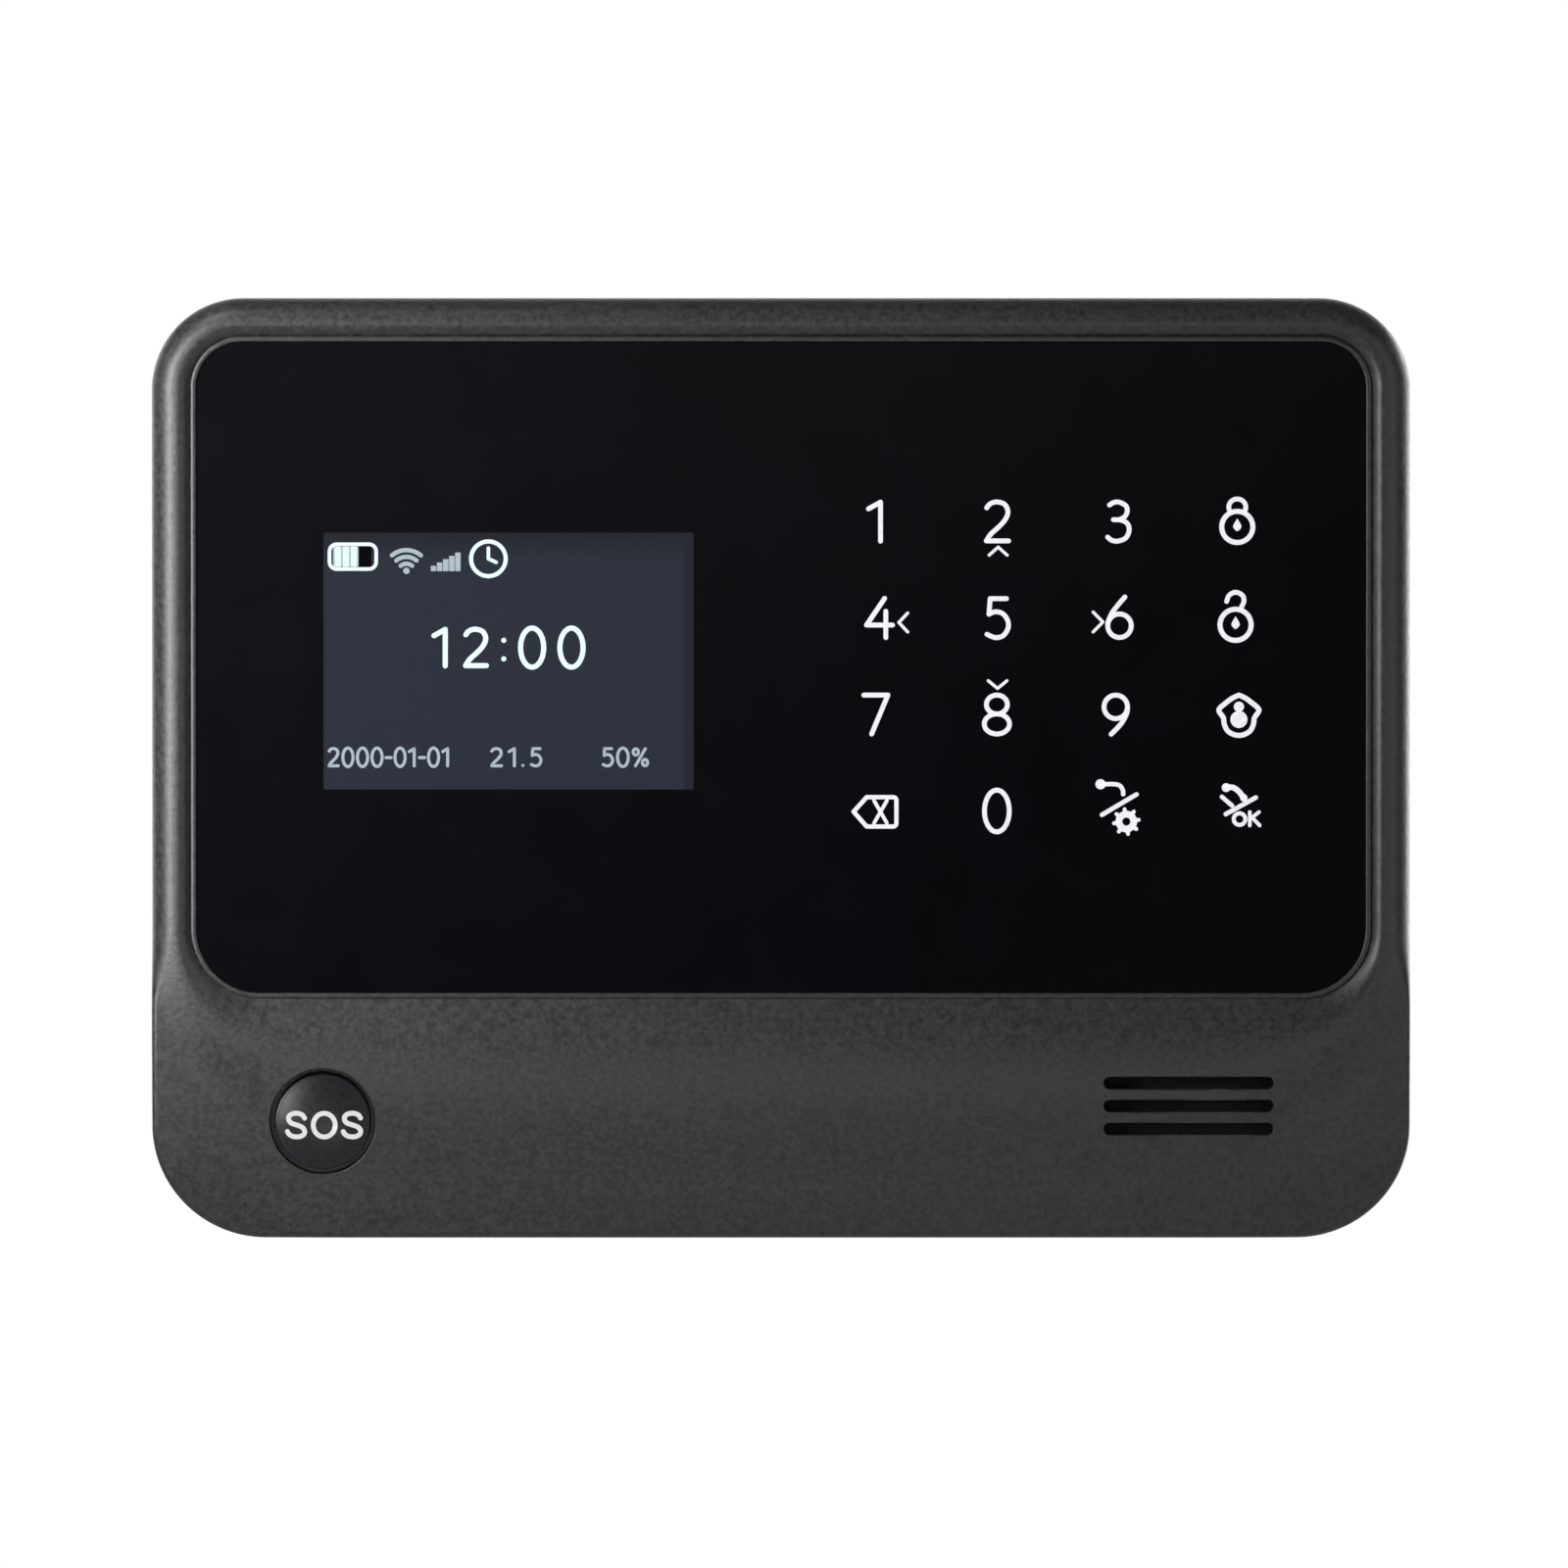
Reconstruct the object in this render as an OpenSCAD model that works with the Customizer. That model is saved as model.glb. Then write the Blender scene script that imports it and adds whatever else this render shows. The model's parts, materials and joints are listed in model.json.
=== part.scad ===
// Wall-mounted alarm keypad panel: a two-shell housing with a glossy touch lens, a small colour
// display, sixteen touch keys, an SOS push button, a loudspeaker and a hook-on wall bracket.
// The origin is at the centre of the bracket's back face, on the wall. The front faces -Y and +Z is
// up. Each sub-part is drawn in the panel's own axes, x to the right, y up and z out from the wall,
// and upright() stands it up.

/* [Housing] */
// Width of the housing
body_w = 178; // [176:0.5:184]
// Height of the housing
body_h = 133; // [131:0.5:138]
// Depth from the wall to the crest of the front frame
body_d = 24; // [23.6:0.2:26]
// Radius of the two top corners
corner_top_r = 13; // [12:0.5:14]
// Radius of the two bottom corners
corner_bottom_r = 16; // [15:0.5:17]
// Thickness of the side walls
wall_t = 2.2; // [2:0.1:2.4]
// Thickness of the back wall
back_t = 2; // [1.6:0.1:2.4]
// Gap between the wall and the back of the housing
back_gap = 0.5; // [0.3:0.1:0.8]
// Radius of the rounded back edge
back_edge_r = 3; // [2:0.5:4]
// Radius of the front edge, beside and above the lens
edge_r = 3; // [2.6:0.1:3.2]
// Radius of the front edge, round the chin
chin_edge_r = 0.8; // [0.6:0.1:1.2]
// Height of the parting plane above the back face of the main board
part_rise = 1; // [0.8:0.1:1.2]
// Height of the tongue that locates the two shells
tongue_h = 1.5; // [1.2:0.1:1.8]
// Thickness of the tongue
tongue_t = 1.1; // [0.9:0.1:1.2]
// Clearance round the tongue
tongue_gap = 0.1; // [0.05:0.05:0.2]

/* [Front face] */
// Width of the frame at each side of the lens
side_border = 6.45; // [6:0.1:7]
// Width of the frame above the lens
top_border = 6.3; // [6:0.1:7]
// Height of the chin, from the panel's bottom edge to the lens
chin_h = 34.9; // [34.5:0.1:37]
// Radius of the lens's top corners
lens_top_r = 6.4; // [5:0.2:7]
// Radius of the lens's bottom corners
lens_bottom_r = 9; // [8:0.5:10]
// Thickness of the lens
lens_t = 2; // [1.8:0.1:2.2]
// Gap between the lens and its opening
lens_gap = 0.15; // [0.1:0.05:0.2]
// Thickness of the adhesive under the lens
adhesive_t = 0.3; // [0.2:0.05:0.4]
// Width of the adhesive
adhesive_w = 4; // [3:0.5:5]
// Height of the frame's crest above the lens
frame_rise = 1.2; // [1:0.1:1.4]
// Width of the thin bead round the lens
bead_w = 0.95; // [0.8:0.05:1.1]
// Height of the bead above the lens
bead_h = 0.35; // [0.2:0.05:0.5]
// Distance from the lens to the crest, at the sides and top
side_crest = 2.7; // [2.4:0.1:3]
// Distance from the lens to the crest, in the chin
chin_crest = 11; // [9:0.5:13]
// Length round the lens's lower corners in which the crest moves out
crest_run = 27; // [24:1:30]
// Fall of the rim's outer flank from its crest
rim_fall = 0.8; // [0.6:0.1:1]
// Width of the rim's outer flank, as a share of the crest's distance from the lens
rim_flank = 1.5; // [1.3:0.1:1.7]
// Fall of the chin from its crest to the bottom edge, besides the rim's
chin_fall = 1.4; // [1:0.1:1.6]
// Thickness of the web behind the lens
web_t = 1.6; // [1.4:0.1:1.8]
// Thickness of the front wall over the chin, past its crest
chin_t = 2.35; // [2.2:0.05:2.5]

/* [Display] */
// Visible width of the display
screen_w = 52.3; // [48:0.1:54]
// Visible height of the display
screen_h = 36.3; // [34:0.1:38]
// Centre of the display, to the right of the panel's centre
screen_x = -38.5; // [-40:0.5:-36]
// Centre of the display, above the panel's centre
screen_y = 15.2; // [14:0.2:17]
// Margin of the display's glass round the visible area
glass_margin = 2.2; // [2:0.1:2.4]
// Margin of the display's metal frame round its glass
frame_margin = 2.6; // [2.2:0.1:2.8]
// Thickness of the display's metal frame
display_frame_t = 2.4; // [2:0.1:2.6]
// Clearance round the display's glass
window_gap = 0.3; // [0.2:0.05:0.4]
// Width of the foam pads behind the display
display_pad_w = 10; // [9:0.5:11]
// Height of the foam pads behind the display
display_pad_h = 16; // [15:0.5:17]
// Width of the display's flex cable
flex_w = 14; // [12:1:16]
// Thickness of the display's flex cable
flex_t = 0.3; // [0.2:0.05:0.4]

/* [Keys] */
// Columns of touch keys
key_columns = 4; // [4:1:4]
// Rows of touch keys
key_rows = 4; // [4:1:4]
// Distance between key columns
key_pitch_x = 17; // [16.6:0.1:17.2]
// Distance between key rows
key_pitch_y = 13.63; // [13.2:0.01:13.8]
// Distance from the lens's right edge to the last key column
key_inset_x = 18.05; // [17.5:0.05:18.5]
// Place of the top key row, above the panel's centre
key_y = 34.8; // [34:0.1:35]
// Outer radius of a key's electrode
electrode_r = 5; // [4.6:0.1:5.2]
// Radius of the light chamber behind a key
chamber_r = 3; // [2.6:0.1:3.2]
// Thickness of an electrode
electrode_t = 0.1; // [0.1:0.05:0.15]
// Margin of the key window round the electrodes
key_margin = 1; // [0.8:0.1:1.2]
// Margin of the touch board round the key window
touch_margin = 6; // [5.5:0.1:6.5]
// Thickness of the touch board
touch_t = 1.6; // [1.4:0.1:1.8]
// Radius of the stakes that hold the touch board
stake_r = 1; // [0.8:0.1:1.2]
// Radius of a stake's head
stake_head_r = 1.9; // [1.7:0.1:2.1]

/* [Main board] */
// Thickness of the main board
board_t = 1.6; // [1.4:0.1:1.8]
// Height of the standoffs between the web and the main board
standoff_h = 5.3; // [5.2:0.1:5.6]
// Radius of the standoffs
standoff_r = 2.8; // [2.5:0.1:3]
// Radius of the pilot hole for a board screw
board_pilot_r = 1; // [0.9:0.05:1.1]
// Clearance between a screw and its pilot hole
pilot_gap = 0.05; // [0.02:0.01:0.08]
// Clearance between a screw and the hole that it passes through
screw_gap = 0.3; // [0.2:0.05:0.4]
// Gap between the board's edge and the housing's side wall
board_gap = 2.8; // [2.6:0.1:3.2]

/* [Board parts] */
// Side of the processor chip
processor_w = 14; // [13:0.5:15]
// Centre of the processor chip, to the right of the panel's centre
processor_x = -20; // [-22:1:-18]
// Centre of the processor chip, above the panel's centre
processor_y = 8; // [6:1:9]
// Margin between the GSM module and the main board's left edge
gsm_margin = 3; // [2:0.5:4]
// Width of the GSM module
gsm_w = 20; // [19:0.5:21]
// Height of the GSM module
gsm_h = 24; // [23:0.5:25]
// Thickness of the GSM module
gsm_t = 2.6; // [2.4:0.1:2.8]
// Centre of the GSM module, above the panel's centre
gsm_y = 12; // [11:0.5:13]
// Height of the GSM antenna
gsm_antenna_h = 8; // [6:0.5:9]
// Gap between the GSM module and its antenna
gsm_antenna_gap = 10; // [8:1:11]
// Width of the wireless module
wifi_w = 16; // [15:0.5:17]
// Height of the wireless module
wifi_h = 20; // [19:0.5:21]
// Distance from the main board's right edge to the radio receiver's centre
receiver_inset = 26.5; // [26.2:0.1:26.8]
// Width of the radio receiver
receiver_w = 12; // [11:0.5:13]
// Height of the radio receiver
receiver_h = 20; // [18:0.5:21]
// Thickness of the radio receiver
receiver_t = 3; // [2.8:0.1:3.2]
// Gap between the radio receiver and its antenna
receiver_antenna_gap = 5; // [4:0.5:6]
// Length of the receiver's antenna
coil_l = 15; // [13:0.5:15]
// Radius of a capacitor
capacitor_r = 3; // [2.5:0.1:3.2]
// Height of a capacitor
capacitor_h = 5.5; // [5:0.1:6]
// Distance between the capacitors
capacitor_pitch = 8; // [7:0.5:9]

// Width of the touch controller's chip, each way
controller_w = 7; // [6:0.5:8]
// Thickness of the Wi-Fi module
wifi_t = 2.2; // [2:0.1:2.6]
// Width of the link between the touch board and the main board
link_w = 22; // [20:1:24]
// Height of the link
link_h = 4; // [3:0.5:5]
// Distance from the touch board's bottom edge to the link's centre
link_inset = 5; // [4:0.5:6]

/* [SOS button] */
// Radius of the button's hole
sos_hole_r = 7.5; // [7:0.1:8]
// Width of the dark ring between the button's cap and its hole
sos_ring_w = 0.5; // [0.4:0.05:0.6]
// Gap between the button's flange and its guide
sos_gap = 0.3; // [0.2:0.05:0.4]
// Distance from the housing's left edge to the button's centre
sos_inset_x = 24.2; // [23:0.2:26]
// Distance from the housing's bottom edge to the button's centre
sos_inset_y = 16.6; // [16:0.2:18]
// Travel of the button
sos_travel = 0.8; // [0.5:0.1:0.8]
// Height of the button's domed face
sos_dome_h = 0.8; // [0.5:0.1:1]
// Wall thickness of the button
sos_wall = 1.2; // [1:0.1:1.4]
// Thickness of the button's flange
sos_flange_t = 1.2; // [1:0.1:1.3]
// How far the button's flange reaches behind the edge of its hole
sos_flange_lap = 0.6; // [0.4:0.1:0.8]

/* [Speaker] */
// Outer radius of the speaker
speaker_r = 13.4; // [13:0.1:13.5]
// Distance from the housing's right edge to the speaker's centre
speaker_inset_x = 31.4; // [31:0.2:33]
// Distance from the housing's bottom edge to the speaker's centre
speaker_inset_y = 18.8; // [18:0.2:20]
// Depth of the speaker's frame
speaker_d = 5; // [4.5:0.1:5.5]
// Radius of the speaker's magnet
magnet_r = 7; // [6:0.1:8]
// Depth of the speaker's magnet
magnet_d = 4; // [3.5:0.1:4.5]
// Head radius of a speaker screw
speaker_head_r = 2.9; // [2.8:0.1:3]
// Length of a speaker screw
speaker_screw_l = 3; // [2.6:0.1:3.2]
// Number of speaker slots
slot_count = 3; // [3:1:4]
// Length of a speaker slot
slot_w = 24; // [22:0.5:25]
// Height of a speaker slot
slot_h = 1.72; // [1.5:0.02:1.9]
// Distance between speaker slots
slot_pitch = 3.26; // [3:0.02:3.5]
// Thickness of the dust mesh behind the slots
mesh_t = 0.3; // [0.2:0.05:0.4]

/* [Wall bracket] */
// Width of the bracket
bracket_w = 130; // [126:1:132]
// Height of the bracket
bracket_h = 84; // [82:1:86]
// Thickness of the bracket
bracket_t = 2; // [1.8:0.1:2]
// Radius of the bracket's corners
bracket_corner_r = 6; // [4:0.5:7]
// Width of the cable window
cable_w = 64; // [60:1:66]
// Height of the cable window
cable_h = 32; // [30:1:34]
// Distance between the wall screws, across
wall_screw_w = 100; // [98:1:102]
// Distance between the wall screws, up
wall_screw_h = 68; // [66:1:69]
// Distance between the two holes for a back box
box_screw_w = 60; // [60:0.3:60.3]
// Height of the back-box holes above the panel's centre
box_screw_y = 24; // [23.5:0.5:26]
// Radius of the screw holes in the bracket
wall_hole_r = 2.3; // [2.1:0.1:2.5]
// Distance between the hooks, across
hook_span_w = 108; // [106:1:110]
// Distance between the hooks, up
hook_span_h = 40; // [38:1:42]
// Width of a hook
hook_w = 10; // [8:0.5:10]
// Height of a hook's neck
neck_h = 3; // [2.5:0.1:3.2]
// Height of a hook's lip above its neck
lip_h = 5; // [4.5:0.1:5]
// Thickness of a hook's lip
lip_t = 1.5; // [1.2:0.1:1.6]
// Clearance round the hooks, and between the bracket and the housing
hook_gap = 0.3; // [0.2:0.05:0.4]
// How far the panel is lifted to unhook it
lift_travel = 6; // [5.6:0.1:6]
// Thickness of the recess's roof, which hangs on the hooks
roof_t = 1.8; // [1.6:0.1:2]

/* [Battery] */
// Width of the battery
battery_w = 84; // [80:1:86]
// Height of the battery
battery_h = 52; // [50:1:54]
// Thickness of the battery
battery_t = 6; // [5.5:0.1:6.1]
// Thickness of the adhesive pad under the battery
pad_t = 0.3; // [0.2:0.05:0.4]

/* [Fasteners] */
// Distance from the housing's side edge to a housing screw
post_inset_x = 8.5; // [8.3:0.1:8.8]
// Distance from the housing's top or bottom edge to a housing screw
post_inset_y = 9; // [8.8:0.1:9.3]
// Outer radius of a screw post in the rear housing
post_r = 3.8; // [3.6:0.1:3.9]
// Outer radius of a screw post in the front housing
front_post_r = 3.3; // [3.1:0.1:3.4]
// Pilot radius of a front screw post
post_pilot_r = 1.3; // [1.2:0.05:1.4]
// Radius of a housing screw's head
post_head_r = 2.7; // [2.5:0.05:2.8]
// Height of a housing screw's head
post_head_h = 1.8; // [1.6:0.1:2]
// Thickness of the seat under a housing screw's head
seat_t = 2; // [1.6:0.1:2.4]
// Height of the screw seat above the inner face of the back wall
seat_rise = 4.5; // [4:0.1:5]
// Length of thread in a front screw post
thread_l = 8; // [7:0.5:8.5]

/* [Sockets and switches] */
// Height of the USB socket's centre above the panel's centre
usb_y = -13; // [-14:0.5:-12]
// Width of the USB socket
usb_w = 7.6; // [7.4:0.1:8]
// Thickness of the USB socket
usb_t = 2.8; // [2.6:0.1:3]
// Height of the siren jack's centre above the panel's centre
jack_y = 3; // [2:0.5:4]
// Bore radius of the siren jack
jack_bore_r = 1.8; // [1.75:0.05:1.85]
// Outer radius of the siren jack's nose
jack_nose_r = 2.8; // [2.6:0.1:3]
// Height of the SIM slot's centre above the panel's centre
sim_y = 23; // [22:0.5:24]
// Width of the SIM slot
sim_slot_w = 16; // [15.6:0.1:16.4]
// Length of the SIM socket
sim_l = 18; // [17:0.5:18.5]
// Height of the power slide above the panel's bottom edge, at rest
slide_inset_y = 18.7; // [18.5:0.1:20]
// Height of the power slide's thumb piece
slide_h = 10.2; // [9.6:0.1:10.4]
// Thickness of the power slide's thumb piece
slide_t = 3.2; // [3:0.1:3.4]
// Travel of the power slide
slide_travel = 2.5; // [2:0.1:2.5]
// Number of ribs on the power slide
rib_count = 8; // [7:1:9]
// Distance between the ribs
rib_pitch = 1.18; // [1.1:0.01:1.2]
// Height of the ribs
rib_h = 0.3; // [0.2:0.05:0.4]
// Height of the tamper plunger above the bracket's bottom edge
tamper_inset = 6; // [5.5:0.5:8]
// Radius of the tamper plunger
tamper_r = 1.5; // [1.4:0.1:1.6]
// Travel of the tamper plunger
tamper_travel = 1.2; // [0.8:0.1:1.2]
// Radius of the tamper spring's wire
spring_wire_r = 0.25; // [0.2:0.05:0.3]
// Turns of the tamper spring
spring_turns = 4; // [3:1:4]

/* [Hidden] */

$fn = 64;
touch = 0.01;
cut = 1;

// Heights from the wall, from the front of the panel to the back
lens_face_z = body_d - frame_rise;
lens_back_z = lens_face_z - lens_t;
web_top_z = lens_back_z - adhesive_t;
web_z = web_top_z - web_t;
touch_back_z = web_z - touch_t;
board_front_z = web_z - standoff_h;
board_z = board_front_z - board_t;
part_z = board_z + part_rise;
floor_z = back_gap + back_t;
roof_z = bracket_t + 2 * hook_gap;
roof_top_z = roof_z + roof_t;
battery_z = roof_top_z + pad_t;
lip_z = roof_top_z + hook_gap;

// An outline is [half width, top, bottom, top corner radius, bottom corner radius]
body = [body_w / 2, body_h / 2, -body_h / 2, corner_top_r, corner_bottom_r];
lens_top_y = body_h / 2 - top_border;
lens_bottom_y = chin_h - body_h / 2;
lens = [body_w / 2 - side_border, lens_top_y, lens_bottom_y, lens_top_r, lens_bottom_r];
wall_x = body_w / 2 - wall_t;

function inset(o, t) = [o[0] - t, o[1] - t, o[2] + t, o[3] - t, o[4] - t];
function pad(w, h, r) = [w / 2, h / 2, -h / 2, r, r];
function clamp(v, low, high) = min(max(v, low), high);
function unit(v) = v / norm(v);

// ---- the housing's crown, a surface given by its distance from the lens and from the edge ----

// Radius of the corner that a point belongs to
function corner_r(o, p) = p.y > (o[1] + o[2]) / 2 ? o[3] : o[4];

// Nearest point of an outline's core, which is the outline shrunk by its corner radii
function core(o, p) =
    let (reach_x = o[0] - corner_r(o, p), y = clamp(p.y, o[2] + o[4], o[1] - o[3]))
    [y == p.y ? sign(p.x) * reach_x : clamp(p.x, -reach_x, reach_x), y];

// Distance of a point outside an outline, negative inside
function beyond(o, p) =
    let (k = core(o, p))
    (k.y == p.y ? abs(p.x) - abs(k.x) : norm(p - k)) - corner_r(o, p);

// Outward direction of an outline at one of its points
function outward(o, p) = unit(p - core(o, p));

// The lens's edge point that a point of the body's edge looks at
function lens_mate(q) = let (k = core(lens, q)) k + corner_r(lens, q) * unit(q - k);

function ease(t) = let (c = clamp(t, 0, 1)) c * c * (3 - 2 * c);

// How far the crest lies from the lens. It moves out from the sides to the chin along the lens's edge,
// round each lower corner and on below the lens.
function crest_at(p) =
    let (
        k = core(lens, p), turn = asin(clamp((k.y - p.y) / norm(p - k), 0, 1)),
        run = turn > 0 ? corner_r(lens, p) * turn * PI / 180 + lens_core.x - abs(k.x) : 0
    )
    side_crest + (chin_crest - side_crest) * ease(run / crest_run);

// Radius of the front edge, which gets sharp below the lens's lower corners
function edge_at(p) =
    edge_r + (chin_edge_r - edge_r) * ease((lens_core.y - p.y) / edge_run);

// Height of the crown at a point of the frame
function crown_z(p) =
    let (
        d = beyond(lens, p), crest = crest_at(p),
        climb = clamp((d - bead_w) / (crest - bead_w), 0, 1), past = max(0, d - crest),
        r = edge_at(p), edge = clamp(1 + beyond(body, p) / r, 0, 1)
    )
    lens_face_z + frame_rise * climb * (2 - climb) - rim_fall * ease(past / (rim_flank * crest))
        - chin_fall * pow(past / (chin_h - chin_crest), 2) - r * (1 - sqrt(1 - edge * edge));

corner_steps = 10;
side_steps = 8;
chin_steps = 4;
bead_steps = 6;
mid_steps = 10;
edge_steps = 6;

// Stations round the body's edge, anticlockwise. Below the lens's lower corners the side stations
// are spread by equal angles about the corners' centres, so that they fan out evenly.
lens_core = core(lens, [body_w, -body_h]);
edge_run = 12;
body_core = core(body, [body_w, -body_h]);
fan_x = body_w / 2 - lens_core.x;
fan_angle = atan((lens_core.y - body_core.y) / fan_x);
fan_y = [for (i = [0:side_steps - 1]) lens_core.y - fan_x * tan(fan_angle * i / side_steps)];
function arc(c, r, from) = [
    for (i = [0:corner_steps]) let (a = from + 90 * i / corner_steps) c + r * [cos(a), sin(a)]
];
stations = concat(
    arc([body_w / 2 - corner_top_r, body_h / 2 - corner_top_r], corner_top_r, 0),
    arc([corner_top_r - body_w / 2, body_h / 2 - corner_top_r], corner_top_r, 90),
    [for (y = fan_y) [-body_w / 2, y]],
    arc([-body_core.x, body_core.y], corner_bottom_r, 180),
    [for (i = [1:chin_steps - 1]) [body_core.x * (2 * i / chin_steps - 1), -body_h / 2]],
    arc(body_core, corner_bottom_r, 270),
    [for (i = [1:side_steps]) [body_w / 2, fan_y[side_steps - i]]]
);

// A ring of the crown at a distance from the lens, with its height above the lens's face
function bead_ring(d, h) = [
    for (q = stations) let (p = lens_mate(q), s = p + d * unit(q - p)) [s.x, s.y, lens_face_z + h]
];

// A point of the crown at an inset from the body's edge, on the line to the lens
function edge_point(q, inset_d) =
    let (line = unit(q - lens_mate(q))) q - line * inset_d / (line * outward(body, q));

// A ring of the crown between the bead, at 0, and the rounded edge, at 1
function mid_ring(f) = [
    for (q = stations)
        let (p = lens_mate(q), a = p + bead_w * unit(q - p), s = a + f * (edge_point(q, edge_at(q)) - a))
        [s.x, s.y, crown_z(s)]
];
function edge_ring(f) = [
    for (q = stations) let (s = edge_point(q, f * edge_at(q))) [s.x, s.y, crown_z(s)]
];
function flat_ring(inset_d, z) = [
    for (q = stations) let (s = q - inset_d * outward(body, q)) [s.x, s.y, z]
];

// A solid through rings of points, each anticlockwise about the way from one ring to the next. Each
// end is closed by triangles round its middle.
function middle(ring) = [for (axis = [0:2]) [for (p = ring) p[axis]] * [for (p = ring) 1 / len(ring)]];
module loft(rings) {
    n = len(rings[0]);
    top = (len(rings) - 1) * n;
    ends = top + n;
    polyhedron(
        concat([for (ring = rings) each ring], [middle(rings[0]), middle(rings[len(rings) - 1])]),
        concat(
            [for (i = [0:n - 1]) let (next = (i + 1) % n)
                each [[ends, i, next], [ends + 1, top + next, top + i]]],
            [for (j = [0:len(rings) - 2], i = [0:n - 1])
                let (a = j * n + i, b = j * n + (i + 1) % n) each [[a, a + n, b], [b, a + n, b + n]]]
        )
    );
}

module crown() loft(concat(
    [flat_ring(0, part_z)],
    [for (i = [edge_steps:-1:1]) edge_ring(1 - sin(90 * i / edge_steps))],
    [for (i = [mid_steps:-1:1]) mid_ring(i / mid_steps)],
    [for (i = [bead_steps:-1:0])
        bead_ring(bead_w * (1 - cos(180 * i / bead_steps)) / 2, bead_h * sin(180 * i / bead_steps))],
    [bead_ring(-lens_gap - cut, 0)]
));

module back_shell() loft(concat(
    [for (i = [0:edge_steps])
        flat_ring(back_edge_r * (1 - sin(90 * i / edge_steps)),
                  back_gap + back_edge_r * (1 - cos(90 * i / edge_steps)))],
    [flat_ring(0, part_z)]
));

// ---- shapes that repeat ----

module upright() rotate([90, 0, 0]) children();

module outline(o) {
    polygon([
        [-o[0], o[2] + o[4]], [o[4] - o[0], o[2]], [o[0] - o[4], o[2]], [o[0], o[2] + o[4]],
        [o[0], o[1] - o[3]], [o[0] - o[3], o[1]], [o[3] - o[0], o[1]], [-o[0], o[1] - o[3]],
    ]);
    for (side = [-1, 1]) {
        translate([side * (o[0] - o[3]), o[1] - o[3]]) circle(o[3]);
        translate([side * (o[0] - o[4]), o[2] + o[4]]) circle(o[4]);
    }
}

module slab(o, from, to) translate([0, 0, from]) linear_extrude(to - from) outline(o);

module box(x, y, z) translate([x[0], y[0], z[0]]) cube([x[1] - x[0], y[1] - y[0], z[1] - z[0]]);

module block(w, h, from, to) translate([-w / 2, -h / 2, from]) cube([w, h, to - from]);

module disc(r, from, to) translate([0, 0, from]) cylinder(r = r, h = to - from);

module at(places) for (p = places) translate([p.x, p.y, 0]) children();

// A pan-head screw that points away from the wall, with the underside of its head at a height
module screw(seat, head_r, head_h, shank_r, length) {
    disc(shank_r, seat - touch, seat + length);
    difference() {
        disc(head_r, seat - head_h, seat);
        for (turn = [0, 90])
            rotate([0, 0, turn]) block(head_r, head_r / 4, seat - head_h - cut, seat - head_h / 2);
    }
}

// Rings of a round wire along a path, square to it
function wire_rings(path, r, sides, ref) = [
    for (i = [0:len(path) - 1])
        let (
            along = unit(path[min(i + 1, len(path) - 1)] - path[max(i - 1, 0)]),
            u = unit(cross(ref, along)), v = cross(along, u)
        )
        [for (k = [0:sides - 1]) let (a = 360 * k / sides) path[i] + r * (cos(a) * u + sin(a) * v)]
];

// ---- places ----

post_x = body_w / 2 - post_inset_x;
post_y = body_h / 2 - post_inset_y;
posts = [for (sx = [-1, 1], sy = [-1, 1]) [sx * post_x, sy * post_y]];
seat_z = floor_z + seat_rise;
post_split_z = seat_z + seat_t;
post_hole_r = post_pilot_r + screw_gap;
counterbore_r = post_head_r + screw_gap;

keypad_x = lens[0] - key_inset_x - (key_columns - 1) * key_pitch_x / 2;
key_x = keypad_x - (key_columns - 1) * key_pitch_x / 2;
keys = [for (row = [0:key_rows - 1], column = [0:key_columns - 1])
    [key_x + column * key_pitch_x, key_y - row * key_pitch_y]];
keypad_y = key_y - (key_rows - 1) * key_pitch_y / 2;
key_window_w = (key_columns - 1) * key_pitch_x + 2 * (electrode_r + key_margin);
key_window_h = (key_rows - 1) * key_pitch_y + 2 * (electrode_r + key_margin);
touch_w = key_window_w + 2 * touch_margin;
touch_h = key_window_h + 2 * touch_margin;
stakes = [for (sx = [-1, 1], sy = [-1, 1])
    [keypad_x + sx * (touch_w - touch_margin) / 2, keypad_y + sy * (touch_h - touch_margin) / 2]];
window_r = 2;

glass_w = screen_w + 2 * glass_margin;
glass_h = screen_h + 2 * glass_margin;
display_w = glass_w + 2 * frame_margin;
display_h = glass_h + 2 * frame_margin;
display_back_z = web_z - display_frame_t;

sos = [sos_inset_x - body_w / 2, sos_inset_y - body_h / 2];
speaker = [body_w / 2 - speaker_inset_x, speaker_inset_y - body_h / 2];
chin_seat_z = body_d - chin_t - 1.7;
vault_r = 150;
chin_crest_y = lens_bottom_y - chin_crest;

tamper_y = tamper_inset - bracket_h / 2;

// The main board: a wide upper part, a strip to the right wall and tabs behind the SOS button and
// the tamper plunger
board_x = wall_x - board_gap;
board_half_w = post_x - post_r - 1.7;
board_top = lens_top_y - 4;
board_bottom = lens_bottom_y - 2.3;
board_strip_top = post_y - post_r - 3.7;
board_strip_bottom = post_r - post_y + 1.9;
board_tab_w = 24;
board_tab_bottom = sos.y - 8;
standoff_x = board_half_w - 9;
standoff_mid_x = -16;
standoffs = [for (x = [-standoff_x, standoff_mid_x, standoff_x],
                  y = [board_bottom + 4.5, board_top - 6]) [x, y]];
board_head_r = 2 * board_pilot_r;
board_head_h = 1.4;

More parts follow.
